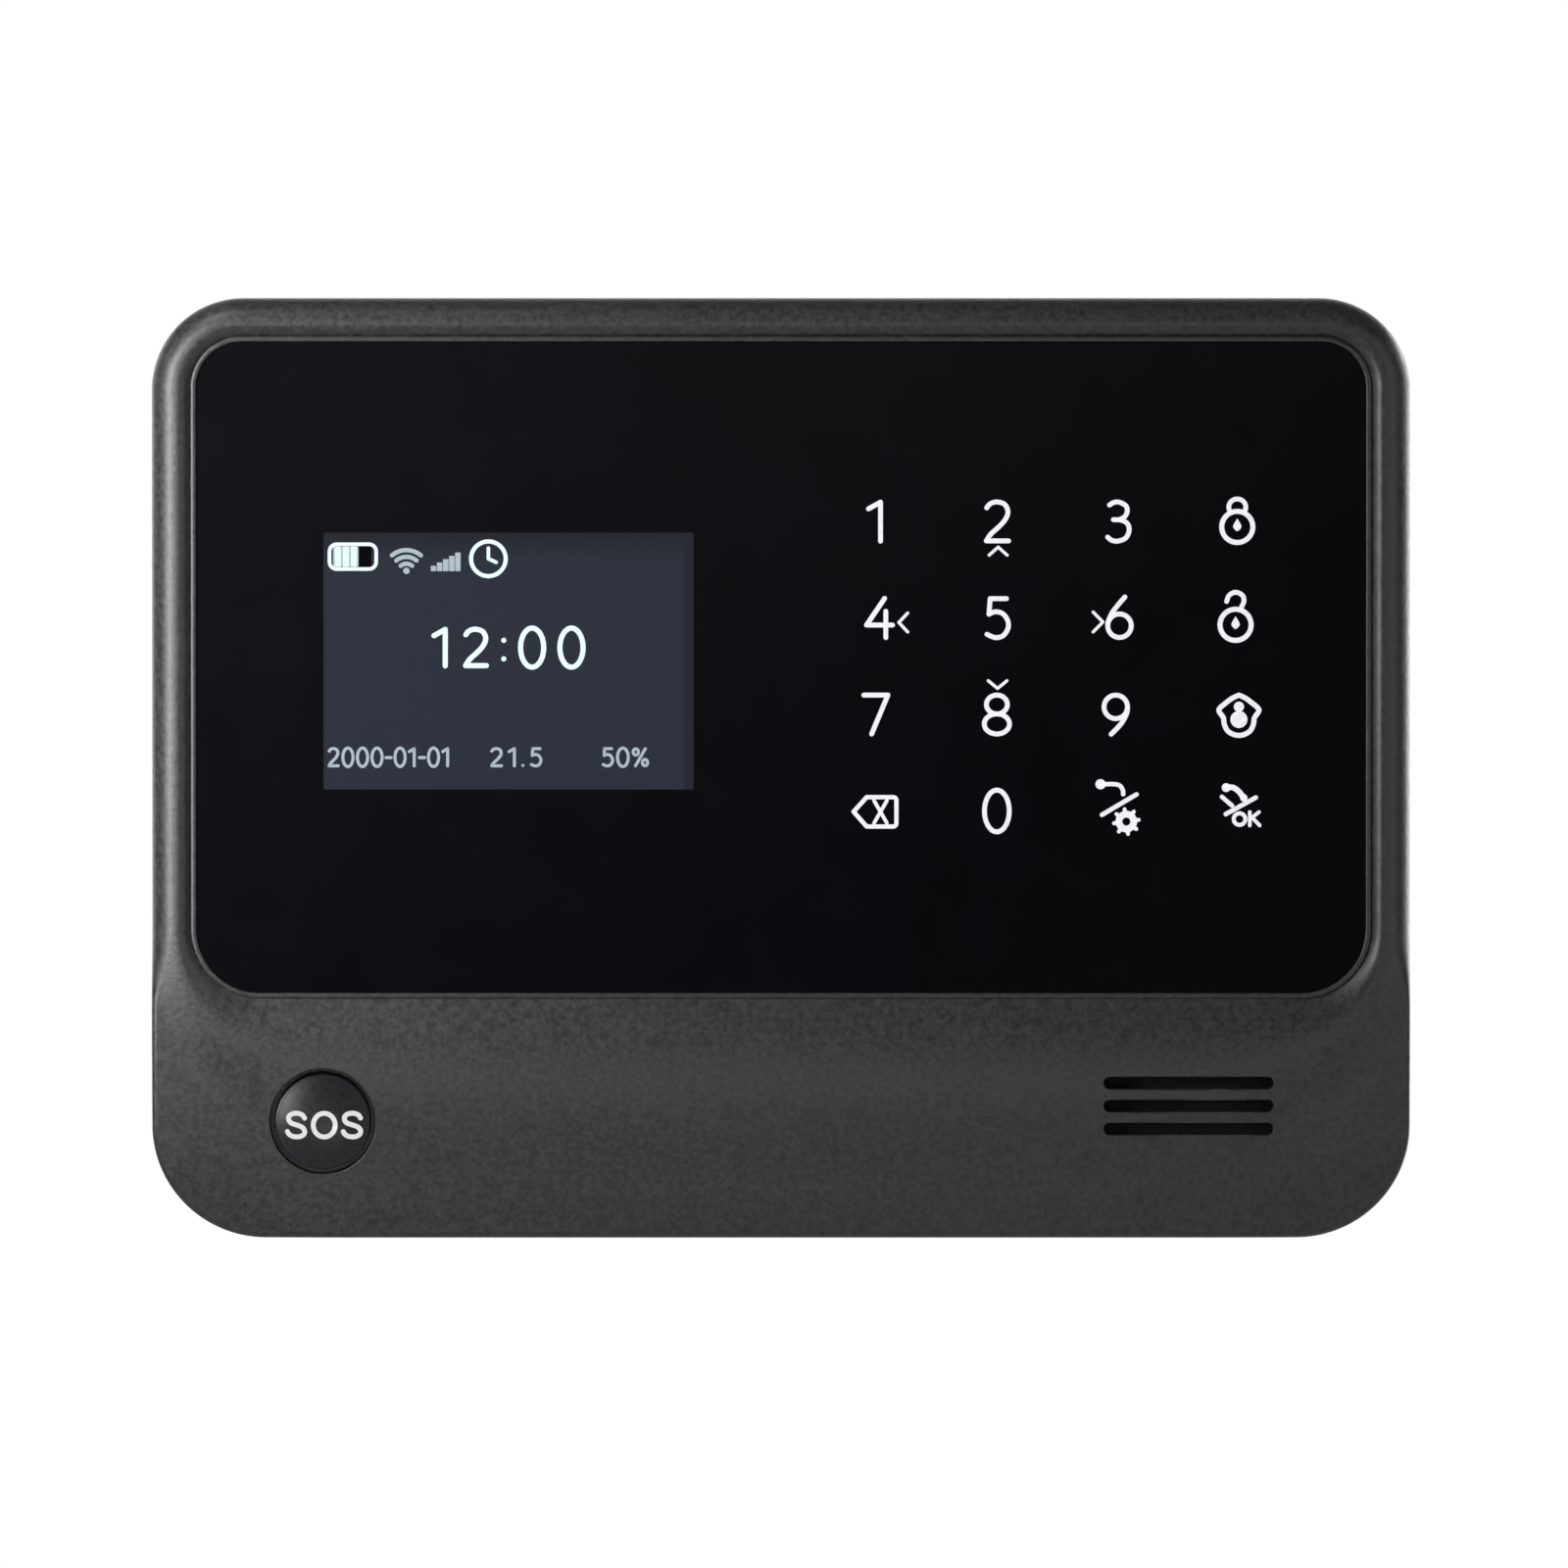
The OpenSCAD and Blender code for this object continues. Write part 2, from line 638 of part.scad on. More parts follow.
hooks = [for (sx = [-1, 1], sy = [-1, 1]) [sx * hook_span_w / 2, sy * hook_span_h / 2]];
wall_screws = [for (sx = [-1, 1], sy = [-1, 1]) [sx * wall_screw_w / 2, sy * wall_screw_h / 2]];
box_screws = [for (sx = [-1, 1]) [sx * box_screw_w / 2, box_screw_y]];
recess_w = bracket_w + 2 * hook_gap;
recess_top = bracket_h / 2 + hook_gap;
recess_bottom = -bracket_h / 2 - lift_travel - hook_gap;
recess_r = bracket_corner_r;
recess = [recess_w / 2, recess_top, recess_bottom, recess_r, recess_r];

// ---- wall bracket ----

module hook() {
    box([-hook_w / 2, hook_w / 2], [-neck_h, 0], [bracket_t - touch, lip_z + touch]);
    box([-hook_w / 2, hook_w / 2], [-neck_h, lip_h], [lip_z, lip_z + lip_t]);
}

module wall_bracket() color("dimgray") upright() {
    difference() {
        slab(pad(bracket_w, bracket_h, bracket_corner_r), 0, bracket_t);
        slab(pad(cable_w, cable_h, 3), -cut, bracket_t + cut);
        at(wall_screws) disc(wall_hole_r, -cut, bracket_t + cut);
        at(box_screws) disc(wall_hole_r, -cut, bracket_t + cut);
        translate([0, lift_travel / 2 + tamper_y])
            slab(pad(4 * tamper_r, 4 * tamper_r + lift_travel, 2), -cut, bracket_t + cut);
    }
    at(hooks) hook();
}

// ---- housing shells ----

module lens_pocket() slab(inset(lens, -lens_gap), web_top_z, body_d + cut);

// The vault behind the chin is one long cylinder under its crest
module chin_vault() intersection() {
    box([-body_w, body_w], [-body_h, lens_bottom_y - wall_t], [part_z, body_d]);
    slab(inset(body, wall_t), part_z, body_d);
    translate([-body_w, chin_crest_y, body_d - chin_t - vault_r])
        rotate([0, 90, 0]) cylinder(r = vault_r, h = 2 * body_w, $fn = 360);
}

module speaker_slots() for (i = [0:slot_count - 1])
    translate([speaker.x, speaker.y + (i - (slot_count - 1) / 2) * slot_pitch])
        slab(pad(slot_w, slot_h, slot_h / 2 - touch), part_z, body_d + cut);

module ring(outer_r, inner_r, from, to) difference() {
    disc(outer_r, from, to);
    disc(inner_r, from - cut, to + cut);
}

sos_flange_r = sos_hole_r + sos_flange_lap;
sos_tube_r = sos_flange_r + sos_gap;
sos_tube_wall = 1.3;
sos_tube_z = chin_seat_z - sos_flange_t - sos_travel - 1;
speaker_seat_r = speaker_r + 1.4;
speaker_clearance = 0.2;

module front_housing() color([0.20, 0.20, 0.20]) upright() difference() {
    union() {
        difference() {
            crown();
            lens_pocket();
            slab(inset(body, wall_t), part_z - cut, web_z);
            chin_vault();
            slab(inset(body, wall_t - tongue_t - tongue_gap), part_z - cut,
                 part_z + tongue_h + 2 * tongue_gap);
            translate([screen_x, screen_y])
                slab(pad(glass_w + 2 * window_gap, glass_h + 2 * window_gap, 1), web_z - cut, body_d);
            translate([keypad_x, keypad_y])
                slab(pad(key_window_w, key_window_h, window_r), web_z - cut, body_d);
        }
        for (p = posts) at([p])
            disc(front_post_r, post_split_z + tongue_gap,
                 p.y > 0 ? web_z + touch : body_d - chin_t - 1);
        at(standoffs) disc(standoff_r, board_front_z, web_z + touch);
        at([sos]) disc(sos_tube_r + sos_tube_wall, sos_tube_z, body_d - chin_t);
        at([speaker]) ring(speaker_seat_r, speaker_r - 2, chin_seat_z, body_d - chin_t);
        at(speaker_screw_places) disc(speaker_post_r, speaker_rim_z, body_d - chin_t);
        at(stakes) {
            disc(stake_r, touch_back_z - touch, web_z + touch);
            disc(stake_head_r, touch_back_z - 0.8, touch_back_z);
        }
    }
    at([sos]) {
        disc(sos_hole_r, part_z, body_d + cut);
        disc(sos_tube_r, part_z, chin_seat_z);
    }
    speaker_slots();
    at(posts) disc(post_pilot_r, part_z - body_d, post_split_z + thread_l + cut);
    at(standoffs) disc(board_pilot_r, board_front_z - cut, web_z + web_t / 2);
    at(speaker_screw_places) disc(board_pilot_r, speaker_rim_z - cut, speaker_rim_z + speaker_screw_l + 0.4);
}

// The sockets and the switches come through the right wall below the parting plane
module side_opening(y, h, z, t) box([wall_x - cut, body_w / 2 + cut], [y - h / 2, y + h / 2],
                                   [z - t / 2, z + t / 2]);

usb_z = board_z - usb_t / 2;
jack_z = board_z - jack_nose_r - 0.2;
sim_t = 2.4;
sim_z = board_z - sim_t / 2;
sim_slot_t = 1.4;
socket_gap = 0.4;
slide_y = slide_inset_y - body_h / 2;
slide_z = board_z - 2.4;
slide_gap = 0.2;

module hook_slot() box([-hook_w / 2 - hook_gap, hook_w / 2 + hook_gap],
                       [-neck_h - lift_travel - hook_gap, hook_gap], [roof_z - cut, roof_top_z + cut]);

module rear_housing() color([0.19, 0.19, 0.19]) upright() difference() {
    union() {
        difference() {
            back_shell();
            slab(inset(body, wall_t), floor_z, part_z + cut);
        }
        difference() {
            slab(inset(body, wall_t - tongue_t), part_z - 2 * tongue_h, part_z + tongue_h);
            slab(inset(body, wall_t), part_z - 3 * tongue_h, part_z + tongue_h + cut);
        }
        slab(inset(recess, -roof_t), floor_z - touch, roof_top_z);
        at(posts) disc(post_r, floor_z - touch, post_split_z);
        translate([0, tamper_y]) disc(tamper_tube_r + 1.2, roof_top_z - touch, tamper_tube_z);
        for (side = [-1, 1], end = [-1, 1]) translate([side * battery_w / 4, end * battery_stop_y])
            block(14, 1.6, roof_top_z - touch, battery_z + battery_t / 2);
    }
    slab(recess, back_gap - cut, roof_z);
    at(hooks) hook_slot();
    at(posts) {
        disc(counterbore_r, back_gap - cut, seat_z);
        disc(post_hole_r, seat_z - cut, post_split_z + cut);
    }
    translate([0, tamper_y]) {
        disc(tamper_r + 0.1, roof_z - cut, roof_top_z + cut);
        disc(tamper_tube_r, roof_top_z, tamper_tube_z + cut);
    }
    side_opening(usb_y, usb_w + 2 * socket_gap, usb_z, usb_t + 2 * socket_gap);
    side_opening(sim_y, sim_slot_w + 2 * socket_gap, sim_z, sim_slot_t);
    translate([wall_x - cut, jack_y, jack_z])
        rotate([0, 90, 0]) cylinder(r = jack_nose_r + socket_gap / 2, h = wall_t + 2 * cut);
    side_opening(slide_y + slide_travel / 2, slide_h + slide_travel + 2 * slide_gap,
                 slide_z, slide_t + 2 * slide_gap);
}

module housing_screws() color("silver") upright() at(posts)
    screw(seat_z, post_head_r, post_head_h, post_pilot_r - pilot_gap, seat_t + thread_l);

// ---- lens ----

module touch_lens() color([0.03, 0.03, 0.04]) upright() slab(lens, lens_back_z, lens_face_z);

module lens_adhesive() color([0.15, 0.15, 0.15]) upright() difference() {
    slab(inset(lens, 0.3), web_top_z, lens_back_z);
    slab(inset(lens, 0.3 + adhesive_w), web_top_z - cut, lens_back_z + cut);
}

// ---- display ----

module at_screen() translate([screen_x, screen_y]) children();

module display_gasket() color([0.1, 0.1, 0.1]) upright() at_screen() difference() {
    slab(pad(glass_w, glass_h, 0.8), web_top_z, lens_back_z);
    slab(pad(screen_w, screen_h, 0.5), web_top_z - cut, lens_back_z + cut);
}

module display_glass() color([0.17, 0.19, 0.23]) upright() at_screen()
    slab(pad(glass_w, glass_h, 0.8), web_z, web_top_z);

module display_frame() color("silver") upright() at_screen() difference() {
    slab(pad(display_w, display_h, 1), display_back_z, web_z);
    slab(pad(screen_w, screen_h, 0.5), display_back_z + 0.6, web_z + cut);
}

module display_pads() color([0.25, 0.25, 0.27]) upright() at_screen() for (side = [-1, 1])
    translate([side * display_w / 4, display_h / 4])
        block(display_pad_w, display_pad_h, board_front_z, display_back_z);

// The flex leaves the display's back, drops to the board and lies down on it
flex_run = 9;
module display_flex() color([0.75, 0.5, 0.15]) upright()
    translate([screen_x - flex_w / 2, screen_y - display_h / 2])
        rotate([90, 0, 90]) linear_extrude(flex_w) polygon([
            [4, display_back_z - flex_t], [4, display_back_z], [-3, display_back_z],
            [-3 - flex_t, display_back_z - flex_t], [-3 - flex_t, board_front_z + flex_t],
            [-flex_run, board_front_z + flex_t], [-flex_run, board_front_z], [-3, board_front_z],
            [-3, display_back_z - flex_t],
        ]);

// ---- touch keys ----

module touch_board() color([0.05, 0.3, 0.15]) upright() difference() {
    translate([keypad_x, keypad_y]) slab(pad(touch_w, touch_h, window_r), touch_back_z, web_z);
    at(stakes) disc(stake_r + 0.1, touch_back_z - cut, web_z + cut);
}

module key_electrodes() color([0.8, 0.6, 0.3]) upright()
    at(keys) ring(electrode_r, chamber_r, web_z, web_z + electrode_t);

module key_light_guide() color([0.9, 0.9, 0.9]) upright() difference() {
    translate([keypad_x, keypad_y])
        slab(pad(key_window_w - 2 * window_gap, key_window_h - 2 * window_gap, window_r),
             web_z + electrode_t, lens_back_z);
    at(keys) disc(chamber_r, web_z - cut, lens_back_z + cut);
}

module key_leds() color("white") upright() at(keys) block(1.6, 0.8, web_z, web_z + 0.6);

module touch_controller() color([0.12, 0.12, 0.12]) upright()
    translate([keypad_x, keypad_y]) block(controller_w, controller_w, touch_back_z - 0.9, touch_back_z);

// The link joins the touch board to the main board
module board_link() color([0.9, 0.9, 0.85]) upright()
    translate([keypad_x, keypad_y - touch_h / 2 + link_inset])
        block(link_w, link_h, board_front_z, touch_back_z);

// ---- main board and what is on it ----

module main_board() color([0.05, 0.35, 0.2]) upright() difference() {
    union() {
        box([-board_half_w, board_half_w], [board_bottom, board_top], [board_z, board_front_z]);
        box([board_half_w - touch, board_x], [board_strip_bottom, board_strip_top],
            [board_z, board_front_z]);
        box([-board_half_w, board_tab_w - board_half_w], [board_tab_bottom, board_bottom + touch],
            [board_z, board_front_z]);
        box([-board_tab_w / 4, board_tab_w / 4], [tamper_y - board_tab_w / 4, board_bottom + touch],
            [board_z, board_front_z]);
    }
    at(standoffs) disc(board_pilot_r + screw_gap, board_z - cut, board_front_z + cut);
}

module board_screws() color("silver") upright() at(standoffs)
    screw(board_z, board_head_r, board_head_h, board_pilot_r - pilot_gap, board_t + standoff_h - 0.5);

module processor_chip() color([0.12, 0.12, 0.12]) upright()
    translate([processor_x, processor_y]) block(processor_w, processor_w, board_front_z, board_front_z + 1.4);

gsm_x = gsm_w / 2 + gsm_margin - board_half_w;
module gsm_module() color("silver") upright()
    translate([gsm_x, gsm_y]) block(gsm_w, gsm_h, board_z - gsm_t, board_z);

module wifi_module() color("silver") upright()
    translate([keypad_x, keypad_y]) block(wifi_w, wifi_h, board_front_z, board_front_z + wifi_t);

module gsm_antenna() color([0.75, 0.55, 0.25]) upright()
    translate([gsm_x, gsm_y + (gsm_h + gsm_antenna_h) / 2 + gsm_antenna_gap])
        block(gsm_w, gsm_antenna_h, board_z - 1.6, board_z);

receiver = [board_x - receiver_inset, usb_y];
module radio_receiver() color([0.1, 0.25, 0.5]) upright()
    translate(receiver) block(receiver_w, receiver_h, board_z - receiver_t, board_z);

// The receiver's antenna is a coil that stands along the board's back
coil_r = 2;
coil_wire_r = 0.35;
coil_turns = 6;
coil_start = receiver + [0, receiver_h / 2 + receiver_antenna_gap];
function helix(turns, r, length, steps) = [
    for (i = [0:turns * steps]) let (a = 360 * i / steps)
        [r * cos(a), r * sin(a), length * i / (turns * steps)]
];
module receiver_antenna() color([0.85, 0.5, 0.3]) upright()
    translate([coil_start.x, coil_start.y, board_z - coil_r - coil_wire_r])
        rotate([-90, 0, 0]) loft(wire_rings(helix(coil_turns, coil_r, coil_l, 12), coil_wire_r, 6,
                                           [0, 0, 1]));

module sim_socket() color("silver") upright() difference() {
    box([board_x - sim_l, board_x + board_gap - 0.3],
        [sim_y - sim_slot_w / 2 - 1, sim_y + sim_slot_w / 2 + 1], [board_z - sim_t, board_z]);
    box([board_x - sim_l + 2, board_x + board_gap + cut], [sim_y - sim_slot_w / 2, sim_y + sim_slot_w / 2],
        [sim_z - sim_slot_t / 2, sim_z + sim_slot_t / 2]);
}

module usb_socket() color("silver") upright() difference() {
    box([board_x - 3.5, board_x + board_gap + wall_t / 2], [usb_y - usb_w / 2, usb_y + usb_w / 2],
        [board_z - usb_t, board_z]);
    box([board_x - 2, board_x + board_gap + wall_t + cut],
        [usb_y - usb_w / 2 + 0.4, usb_y + usb_w / 2 - 0.4],
        [usb_z - usb_t / 2 + 0.4, usb_z + usb_t / 2 - 0.4]);
    }

jack_l = 12;
module siren_jack() color([0.1, 0.1, 0.1]) upright() difference() {
    union() {
        box([board_x - jack_l, board_x], [jack_y - jack_nose_r - 0.6, jack_y + jack_nose_r + 0.6],
            [jack_z - jack_nose_r, board_z]);
        translate([board_x - touch, jack_y, jack_z])
            rotate([0, 90, 0]) cylinder(r = jack_nose_r, h = board_gap + wall_t / 2);
    }
    translate([board_x - jack_l + 2, jack_y, jack_z])
        rotate([0, 90, 0]) cylinder(r = jack_bore_r, h = jack_l + board_gap + wall_t);
}

module board_capacitors() color([0.2, 0.2, 0.3]) upright()
    at([for (x = [-0.5, 0.5], y = [1, 2])
        [gsm_x + x * capacitor_pitch, gsm_y - gsm_h / 2 - y * capacitor_pitch]])
        disc(capacitor_r, board_z - capacitor_h, board_z);

// ---- battery ----

battery_gap = 0.4;
battery_stop_y = battery_h / 2 + battery_gap + 0.8;
battery_plug_x = 0;
battery_plug_y = battery_h / 2 + 12;
plug_h = 5;
lead_r = 0.6;

module battery_pack() color([0.75, 0.75, 0.78]) upright()
    slab(pad(battery_w, battery_h, 2), battery_z, battery_z + battery_t);

module battery_pad() color([0.9, 0.9, 0.9]) upright() difference() {
    block(battery_w - 8, battery_h - 8, roof_top_z, battery_z);
}

module battery_connector() color([0.95, 0.95, 0.9]) upright()
    translate([battery_plug_x, battery_plug_y]) block(8, 5, board_z - plug_h, board_z);

// A lead leaves the battery's top edge and runs into the plug's near face
module battery_lead(x) {
    from = [x, battery_h / 2, battery_z + battery_t / 2];
    to = [x, battery_plug_y - 2.5, board_z - plug_h / 2];
    loft(wire_rings([from, from + [0, 2, 0], (from + to) / 2, to - [0, 2, 0], to], lead_r, 8, [1, 0, 0]));
}

module battery_leads() color("firebrick") upright()
    for (side = [-1, 1]) battery_lead(battery_plug_x + side * 1.5);

// ---- speaker ----

mesh_z = chin_seat_z - mesh_t;
speaker_front_z = mesh_z;
speaker_rim_t = 1;
speaker_rim_z = speaker_front_z - speaker_rim_t;
speaker_back_z = speaker_front_z - speaker_d;
speaker_post_r = 2.2;
speaker_screw_places = [for (a = [-12, 192])
    speaker + (speaker_r + speaker_post_r + speaker_clearance) * [cos(a), sin(a)]];

module speaker_frame() color([0.35, 0.35, 0.37]) upright() at([speaker]) {
    rotate_extrude() polygon([
        [magnet_r - 1, speaker_back_z], [magnet_r + 1, speaker_back_z],
        [speaker_r - 1, speaker_rim_z], [speaker_r, speaker_rim_z],
        [speaker_r, speaker_front_z], [speaker_r - 1.5, speaker_front_z],
        [speaker_r - 2.4, speaker_rim_z], [magnet_r - 1, speaker_back_z + 1],
    ]);
}

module speaker_cone() color([0.2, 0.2, 0.2]) upright() at([speaker]) rotate_extrude() polygon([
    [0, speaker_back_z + 2.2], [3, speaker_back_z + 1.6], [5, speaker_back_z + 1.6],
    [speaker_r - 2.6, speaker_rim_z + 0.1], [speaker_r - 2.6, speaker_rim_z + 0.4],
    [5, speaker_back_z + 2], [3, speaker_back_z + 2.6], [0, speaker_back_z + 3],
]);

module speaker_magnet() color([0.5, 0.5, 0.52]) upright() at([speaker]) {
    disc(magnet_r, speaker_back_z - magnet_d, speaker_back_z);
    disc(2.4, speaker_back_z - touch, speaker_back_z + 1.4);
}

module speaker_mesh() color([0.08, 0.08, 0.08]) upright() at([speaker])
    disc(speaker_r, mesh_z, chin_seat_z);

module speaker_screws() color("silver") upright() at(speaker_screw_places)
    screw(speaker_rim_z, speaker_head_r, 1.2, board_pilot_r - pilot_gap, speaker_screw_l);

speaker_plug_x = speaker.x - 14;
module speaker_connector() color([0.95, 0.95, 0.9]) upright()
    translate([speaker_plug_x, board_bottom + 3]) block(6, 5, board_front_z, board_front_z + 3.4);

// A lead leaves the speaker's back beside the magnet and runs up to its plug on the board
module speaker_lead(side) {
    start = speaker + (magnet_r + 1) * [cos(117 - 8 * side), sin(117 - 8 * side)];
    from = [start.x, start.y, speaker_back_z - lead_r - 0.02];
    to = [speaker_plug_x + side, board_bottom + 0.5, board_front_z + 1.7];
    loft(wire_rings([from, from + [0, 3, 0], (from + to) / 2, to - [0, 2, 0], to], lead_r, 8, [1, 0, 0]));
}

module speaker_leads() color("firebrick") upright() for (side = [-1, 1]) speaker_lead(side);

// ---- SOS button ----

sos_button_r = sos_hole_r - sos_ring_w;
sos_seat_gap = 0.1;
sos_flange_z = chin_seat_z - sos_seat_gap - sos_flange_t;
sos_edge_r = 0.35;
sos_rim_z = body_d - 1.3;
sos_roof_z = sos_rim_z - sos_edge_r - sos_wall;
sos_button_switch_z = sos_flange_z - sos_travel - 0.1;

// A shallow dome from the rim's rounded edge to the middle
sos_flat_r = sos_button_r - sos_edge_r;
function dome_h(r) = sos_dome_h * (1 - pow(r / sos_flat_r, 2));
dome_steps = 10;
module sos_button() color([0.04, 0.04, 0.05]) upright() at([sos]) {
    rotate_extrude() polygon(concat(
        [[2.6, sos_roof_z], [2.6, sos_flange_z], [0, sos_flange_z]],
        [for (i = [0:dome_steps]) let (r = sos_flat_r * i / dome_steps) [r, sos_rim_z + dome_h(r)]],
        [for (i = [1:4]) let (a = 90 - 22.5 * i)
            [sos_flat_r + sos_edge_r * cos(a), sos_rim_z - sos_edge_r + sos_edge_r * sin(a)]],
        [[sos_button_r, sos_flange_z + sos_flange_t], [sos_flange_r, sos_flange_z + sos_flange_t],
         [sos_flange_r, sos_flange_z], [sos_button_r - sos_wall, sos_flange_z],
         [sos_button_r - sos_wall, sos_roof_z]]
    ));
}

module sos_switch() color([0.15, 0.15, 0.15]) upright() at([sos]) {
    block(6, 6, board_front_z, sos_button_switch_z - 1);
    disc(1.7, sos_button_switch_z - 1 - touch, sos_button_switch_z);
}

// ---- power slide ----

slide_face_x = body_w / 2;
slide_flange_t = 1;
slide_flange_x = wall_x - 0.6;
slide_cover = 1;
lever_t = 1.6;
lever_gap = 0.1;
switch_x = board_x - 1;
switch_l = 6;
switch_h = lever_t + slide_travel + 4;
lever_y = slide_y;

module power_slide() color([0.12, 0.12, 0.12]) upright() {
    low = slide_y - slide_h / 2;
    high = slide_y + slide_h / 2;
    box([slide_flange_x - touch, slide_face_x - 0.3], [low, high],
        [slide_z - slide_t / 2, slide_z + slide_t / 2]);
    box([slide_flange_x - slide_flange_t, slide_flange_x],
        [low - slide_cover, high + slide_cover + slide_travel],
        [slide_z - slide_t / 2 - 1, slide_z + slide_t / 2]);
    for (i = [0:rib_count - 1])
        translate([0, slide_y + (i - (rib_count - 1) / 2) * rib_pitch])
            box([slide_face_x - 0.3 - touch, slide_face_x + rib_h], [-rib_pitch / 4, rib_pitch / 4],
                [slide_z - slide_t / 2, slide_z + slide_t / 2]);
    for (side = [-1, 1]) translate([0, lever_y + side * (lever_t + 1.2 + 2 * lever_gap) / 2])
        box([slide_flange_x - slide_flange_t - 1.2, slide_flange_x - slide_flange_t + touch],
            [-0.6, 0.6], [slide_z - lever_t / 2, slide_z + lever_t / 2]);
}

module power_switch() color("silver") upright() difference() {
    box([switch_x - switch_l, switch_x],
        [lever_y + slide_travel / 2 - switch_h / 2, lever_y + slide_travel / 2 + switch_h / 2],
        [slide_z - lever_t / 2 - 1.2, board_z]);
    box([switch_x - 3, switch_x + cut],
        [lever_y - lever_t / 2 - lever_gap, lever_y + slide_travel + lever_t / 2 + lever_gap],
        [slide_z - lever_t / 2 - lever_gap, slide_z + lever_t / 2 + lever_gap]);
}

module power_lever() color([0.85, 0.85, 0.85]) upright()
    box([switch_x - 2.8, slide_flange_x - slide_flange_t - lever_gap],
        [lever_y - lever_t / 2, lever_y + lever_t / 2], [slide_z - lever_t / 2, slide_z + lever_t / 2]);

// ---- tamper switch ----

tamper_flange_r = 2 * tamper_r;
tamper_flange_t = 1;
tamper_flange_z = roof_top_z + 0.05;
tamper_tube_r = tamper_flange_r + 0.2;
tamper_tube_z = roof_top_z + 3;
tamper_switch_z = board_z - 2.6;
tamper_button_z = tamper_switch_z - 0.7;
tamper_stem_z = tamper_button_z - tamper_travel - 0.1;
tamper_tip_z = 0.05;
spring_z = tamper_flange_z + tamper_flange_t;
spring_r = tamper_flange_r - spring_wire_r - 0.15;

module tamper_plunger() color([0.9, 0.9, 0.9]) upright() translate([0, tamper_y]) {
    disc(tamper_r, tamper_tip_z, tamper_flange_z + touch);
    disc(tamper_flange_r, tamper_flange_z, spring_z);
    disc(tamper_r - 0.2, spring_z - touch, tamper_stem_z);
}

module tamper_switch() color([0.15, 0.15, 0.15]) upright() translate([0, tamper_y]) {
    block(6, 6, tamper_switch_z, board_z);
    disc(1.6, tamper_button_z, tamper_switch_z + touch);
}

module tamper_spring() color("silver") upright()
    translate([0, tamper_y, spring_z + spring_wire_r])
        loft(wire_rings(helix(spring_turns, spring_r, tamper_switch_z - spring_z - 2 * spring_wire_r, 12),
                        spring_wire_r, 6, [0, 0, 1]));

wall_bracket();
front_housing();
rear_housing();
housing_screws();
touch_lens();
lens_adhesive();
display_gasket();
display_glass();
display_frame();
display_pads();
display_flex();
touch_board();
key_electrodes();
key_light_guide();
key_leds();
touch_controller();
board_link();
main_board();
board_screws();
processor_chip();
gsm_module();
gsm_antenna();
wifi_module();
radio_receiver();
receiver_antenna();
sim_socket();
usb_socket();
siren_jack();
board_capacitors();
battery_pack();
battery_pad();
battery_connector();
battery_leads();
speaker_frame();
speaker_cone();
speaker_magnet();
speaker_mesh();
speaker_screws();
speaker_leads();
speaker_connector();
sos_switch();
sos_button();
power_switch();
power_slide();
power_lever();
tamper_switch();
tamper_plunger();
tamper_spring();
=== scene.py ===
"""Looks of the wall-mounted alarm keypad panel.

It gives the CAD pieces their materials, makes three of them anew (the finely drawn front housing, the button
and the tamper switch's spring), and adds the key legends, the lit display's picture and the studio.
"""

import json
import math

import bpy
import numpy as np
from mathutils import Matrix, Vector


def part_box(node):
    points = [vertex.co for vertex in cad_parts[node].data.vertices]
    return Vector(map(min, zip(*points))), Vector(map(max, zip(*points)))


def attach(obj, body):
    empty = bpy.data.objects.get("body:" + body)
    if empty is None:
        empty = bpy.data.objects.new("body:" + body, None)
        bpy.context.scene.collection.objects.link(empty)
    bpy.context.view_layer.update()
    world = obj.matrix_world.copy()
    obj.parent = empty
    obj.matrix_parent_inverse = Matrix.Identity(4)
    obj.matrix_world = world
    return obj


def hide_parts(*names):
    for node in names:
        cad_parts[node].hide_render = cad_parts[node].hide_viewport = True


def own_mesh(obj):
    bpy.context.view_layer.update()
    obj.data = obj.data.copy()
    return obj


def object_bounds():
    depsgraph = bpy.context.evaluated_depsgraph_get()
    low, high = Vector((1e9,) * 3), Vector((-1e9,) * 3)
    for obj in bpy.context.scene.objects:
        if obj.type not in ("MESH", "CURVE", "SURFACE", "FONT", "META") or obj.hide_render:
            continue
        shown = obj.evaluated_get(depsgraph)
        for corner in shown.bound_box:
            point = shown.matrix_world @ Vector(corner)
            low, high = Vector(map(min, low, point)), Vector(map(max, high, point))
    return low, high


MM = 0.001
IMAGE = 1600  # pixels along each side of the photograph
PANEL_AT = (797, 784)  # the panel's middle in it, from its upper left corner
PIXEL = 0.13863 * MM  # its scale at the panel's face

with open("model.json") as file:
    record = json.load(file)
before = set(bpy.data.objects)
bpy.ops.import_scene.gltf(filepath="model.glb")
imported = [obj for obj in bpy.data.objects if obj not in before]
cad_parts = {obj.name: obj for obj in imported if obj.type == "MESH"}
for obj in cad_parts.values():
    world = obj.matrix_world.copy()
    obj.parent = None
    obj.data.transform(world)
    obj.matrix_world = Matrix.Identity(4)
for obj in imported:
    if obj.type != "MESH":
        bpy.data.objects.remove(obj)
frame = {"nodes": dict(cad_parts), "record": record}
cad_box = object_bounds()
scene = bpy.context.scene


def add(name, data):
    o = bpy.data.objects.new(name, data)
    scene.collection.objects.link(o)
    return o


# ---- camera: a long lens, almost straight on, very slightly above the middle ----

